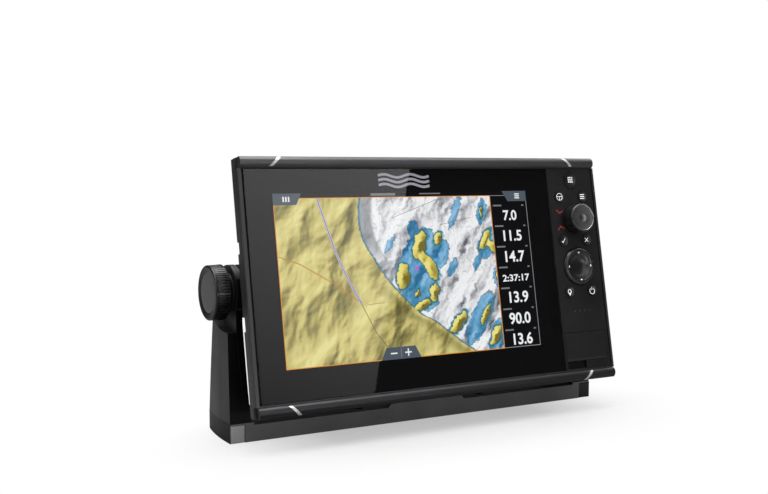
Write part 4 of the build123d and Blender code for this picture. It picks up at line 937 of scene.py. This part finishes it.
def card_material():
    """A glowing card, brighter towards its top. It lights and is reflected, but isn't itself seen."""
    g = Graph("front_card")
    height = g.node("ShaderNodeSeparateXYZ", {}, {"Vector": g.coords}, 1)
    glow = g.math("ADD", 1.30, g.math("MULTIPLY", height, 2.05))
    strength = g.math("MINIMUM", g.math("MAXIMUM", glow, 0.15), 2.2)
    light = g.node("ShaderNodeEmission", {}, {"Color": (1.0, 1.0, 1.0, 1.0), "Strength": strength})
    clear = g.node("ShaderNodeBsdfTransparent")
    direct = g.node("ShaderNodeLightPath", {}, {}, "Is Camera Ray")
    shader = g.tree.nodes.new("ShaderNodeMixShader")
    for socket, value in zip(shader.inputs, (direct, light, clear)):
        g.feed(socket, value)
    g.tree.links.new(shader.outputs[0], g.out.inputs[0])
    return g.material


card_mesh = rectangle_mesh("front_card", CARD_SIZE[0] / 2, CARD_SIZE[1] / 2, card_material())
card = bpy.data.objects.new("front_card", card_mesh)
card.matrix_world = Matrix((
    (-leftward.x, edge.x, facing.x, centre.x),
    (-leftward.y, edge.y, facing.y, centre.y),
    (-leftward.z, edge.z, facing.z, centre.z),
    (0, 0, 0, 1),
))
bpy.context.scene.collection.objects.link(card)

softbox("overhead", (0.1, 0.05, 1.5), (0, 0, 0.1), (1.6, 1.2), 34.0)
softbox("front_fill", (-0.1, -1.25, 0.04), (0, 0, 0.02), (1.8, 0.22), 6.0)
softbox("left_strip", (-1.3, 0.1, 0.7), (-0.15, 0, 0.08), (0.5, 1.2), 9.0)
softbox("right_strip", (1.3, 0.35, 0.7), (0.15, 0, 0.08), (0.5, 1.2), 9.0)

world = bpy.data.worlds.new("studio")
bpy.context.scene.world = world
world.use_nodes = True
sky = world.node_tree
sky.nodes.clear()
direction = sky.nodes.new("ShaderNodeTexCoord").outputs["Generated"]
split = sky.nodes.new("ShaderNodeSeparateXYZ")
sky.links.new(direction, split.inputs[0])
rise = sky.nodes.new("ShaderNodeValToRGB")
rise.color_ramp.elements[0].position = 0.35
rise.color_ramp.elements[0].color = (0.06, 0.06, 0.06, 1)
rise.color_ramp.elements[1].position = 0.95
rise.color_ramp.elements[1].color = (1.1, 1.1, 1.1, 1)
sky.links.new(split.outputs["Z"], rise.inputs[0])
dome = sky.nodes.new("ShaderNodeBackground")
sky.links.new(rise.outputs[0], dome.inputs[0])
white = sky.nodes.new("ShaderNodeBackground")
white.inputs[0].default_value = (1, 1, 1, 1)
ray = sky.nodes.new("ShaderNodeLightPath").outputs["Is Camera Ray"]
blend = sky.nodes.new("ShaderNodeMixShader")
sky.links.new(ray, blend.inputs[0])
sky.links.new(dome.outputs[0], blend.inputs[1])
sky.links.new(white.outputs[0], blend.inputs[2])
sky_out = sky.nodes.new("ShaderNodeOutputWorld")
sky.links.new(blend.outputs[0], sky_out.inputs[0])

bpy.context.scene.view_settings.view_transform = "Standard"
bpy.context.scene.view_settings.look = "None"

CAMERA_PLACE = (-0.3866, -0.6554, 0.1746)
CAMERA_YAW = 0.511
CAMERA_DIP = 0.072
CAMERA_LENS = 49.47
camera = bpy.data.cameras.new("camera")
camera.lens = CAMERA_LENS
camera.sensor_width = 36.0
camera.clip_start = 0.01
eye = bpy.data.objects.new("camera", camera)
eye.location = CAMERA_PLACE
eye.rotation_euler = (math.pi / 2 - CAMERA_DIP, 0.0, -CAMERA_YAW)
bpy.context.scene.collection.objects.link(eye)
bpy.context.scene.camera = eye
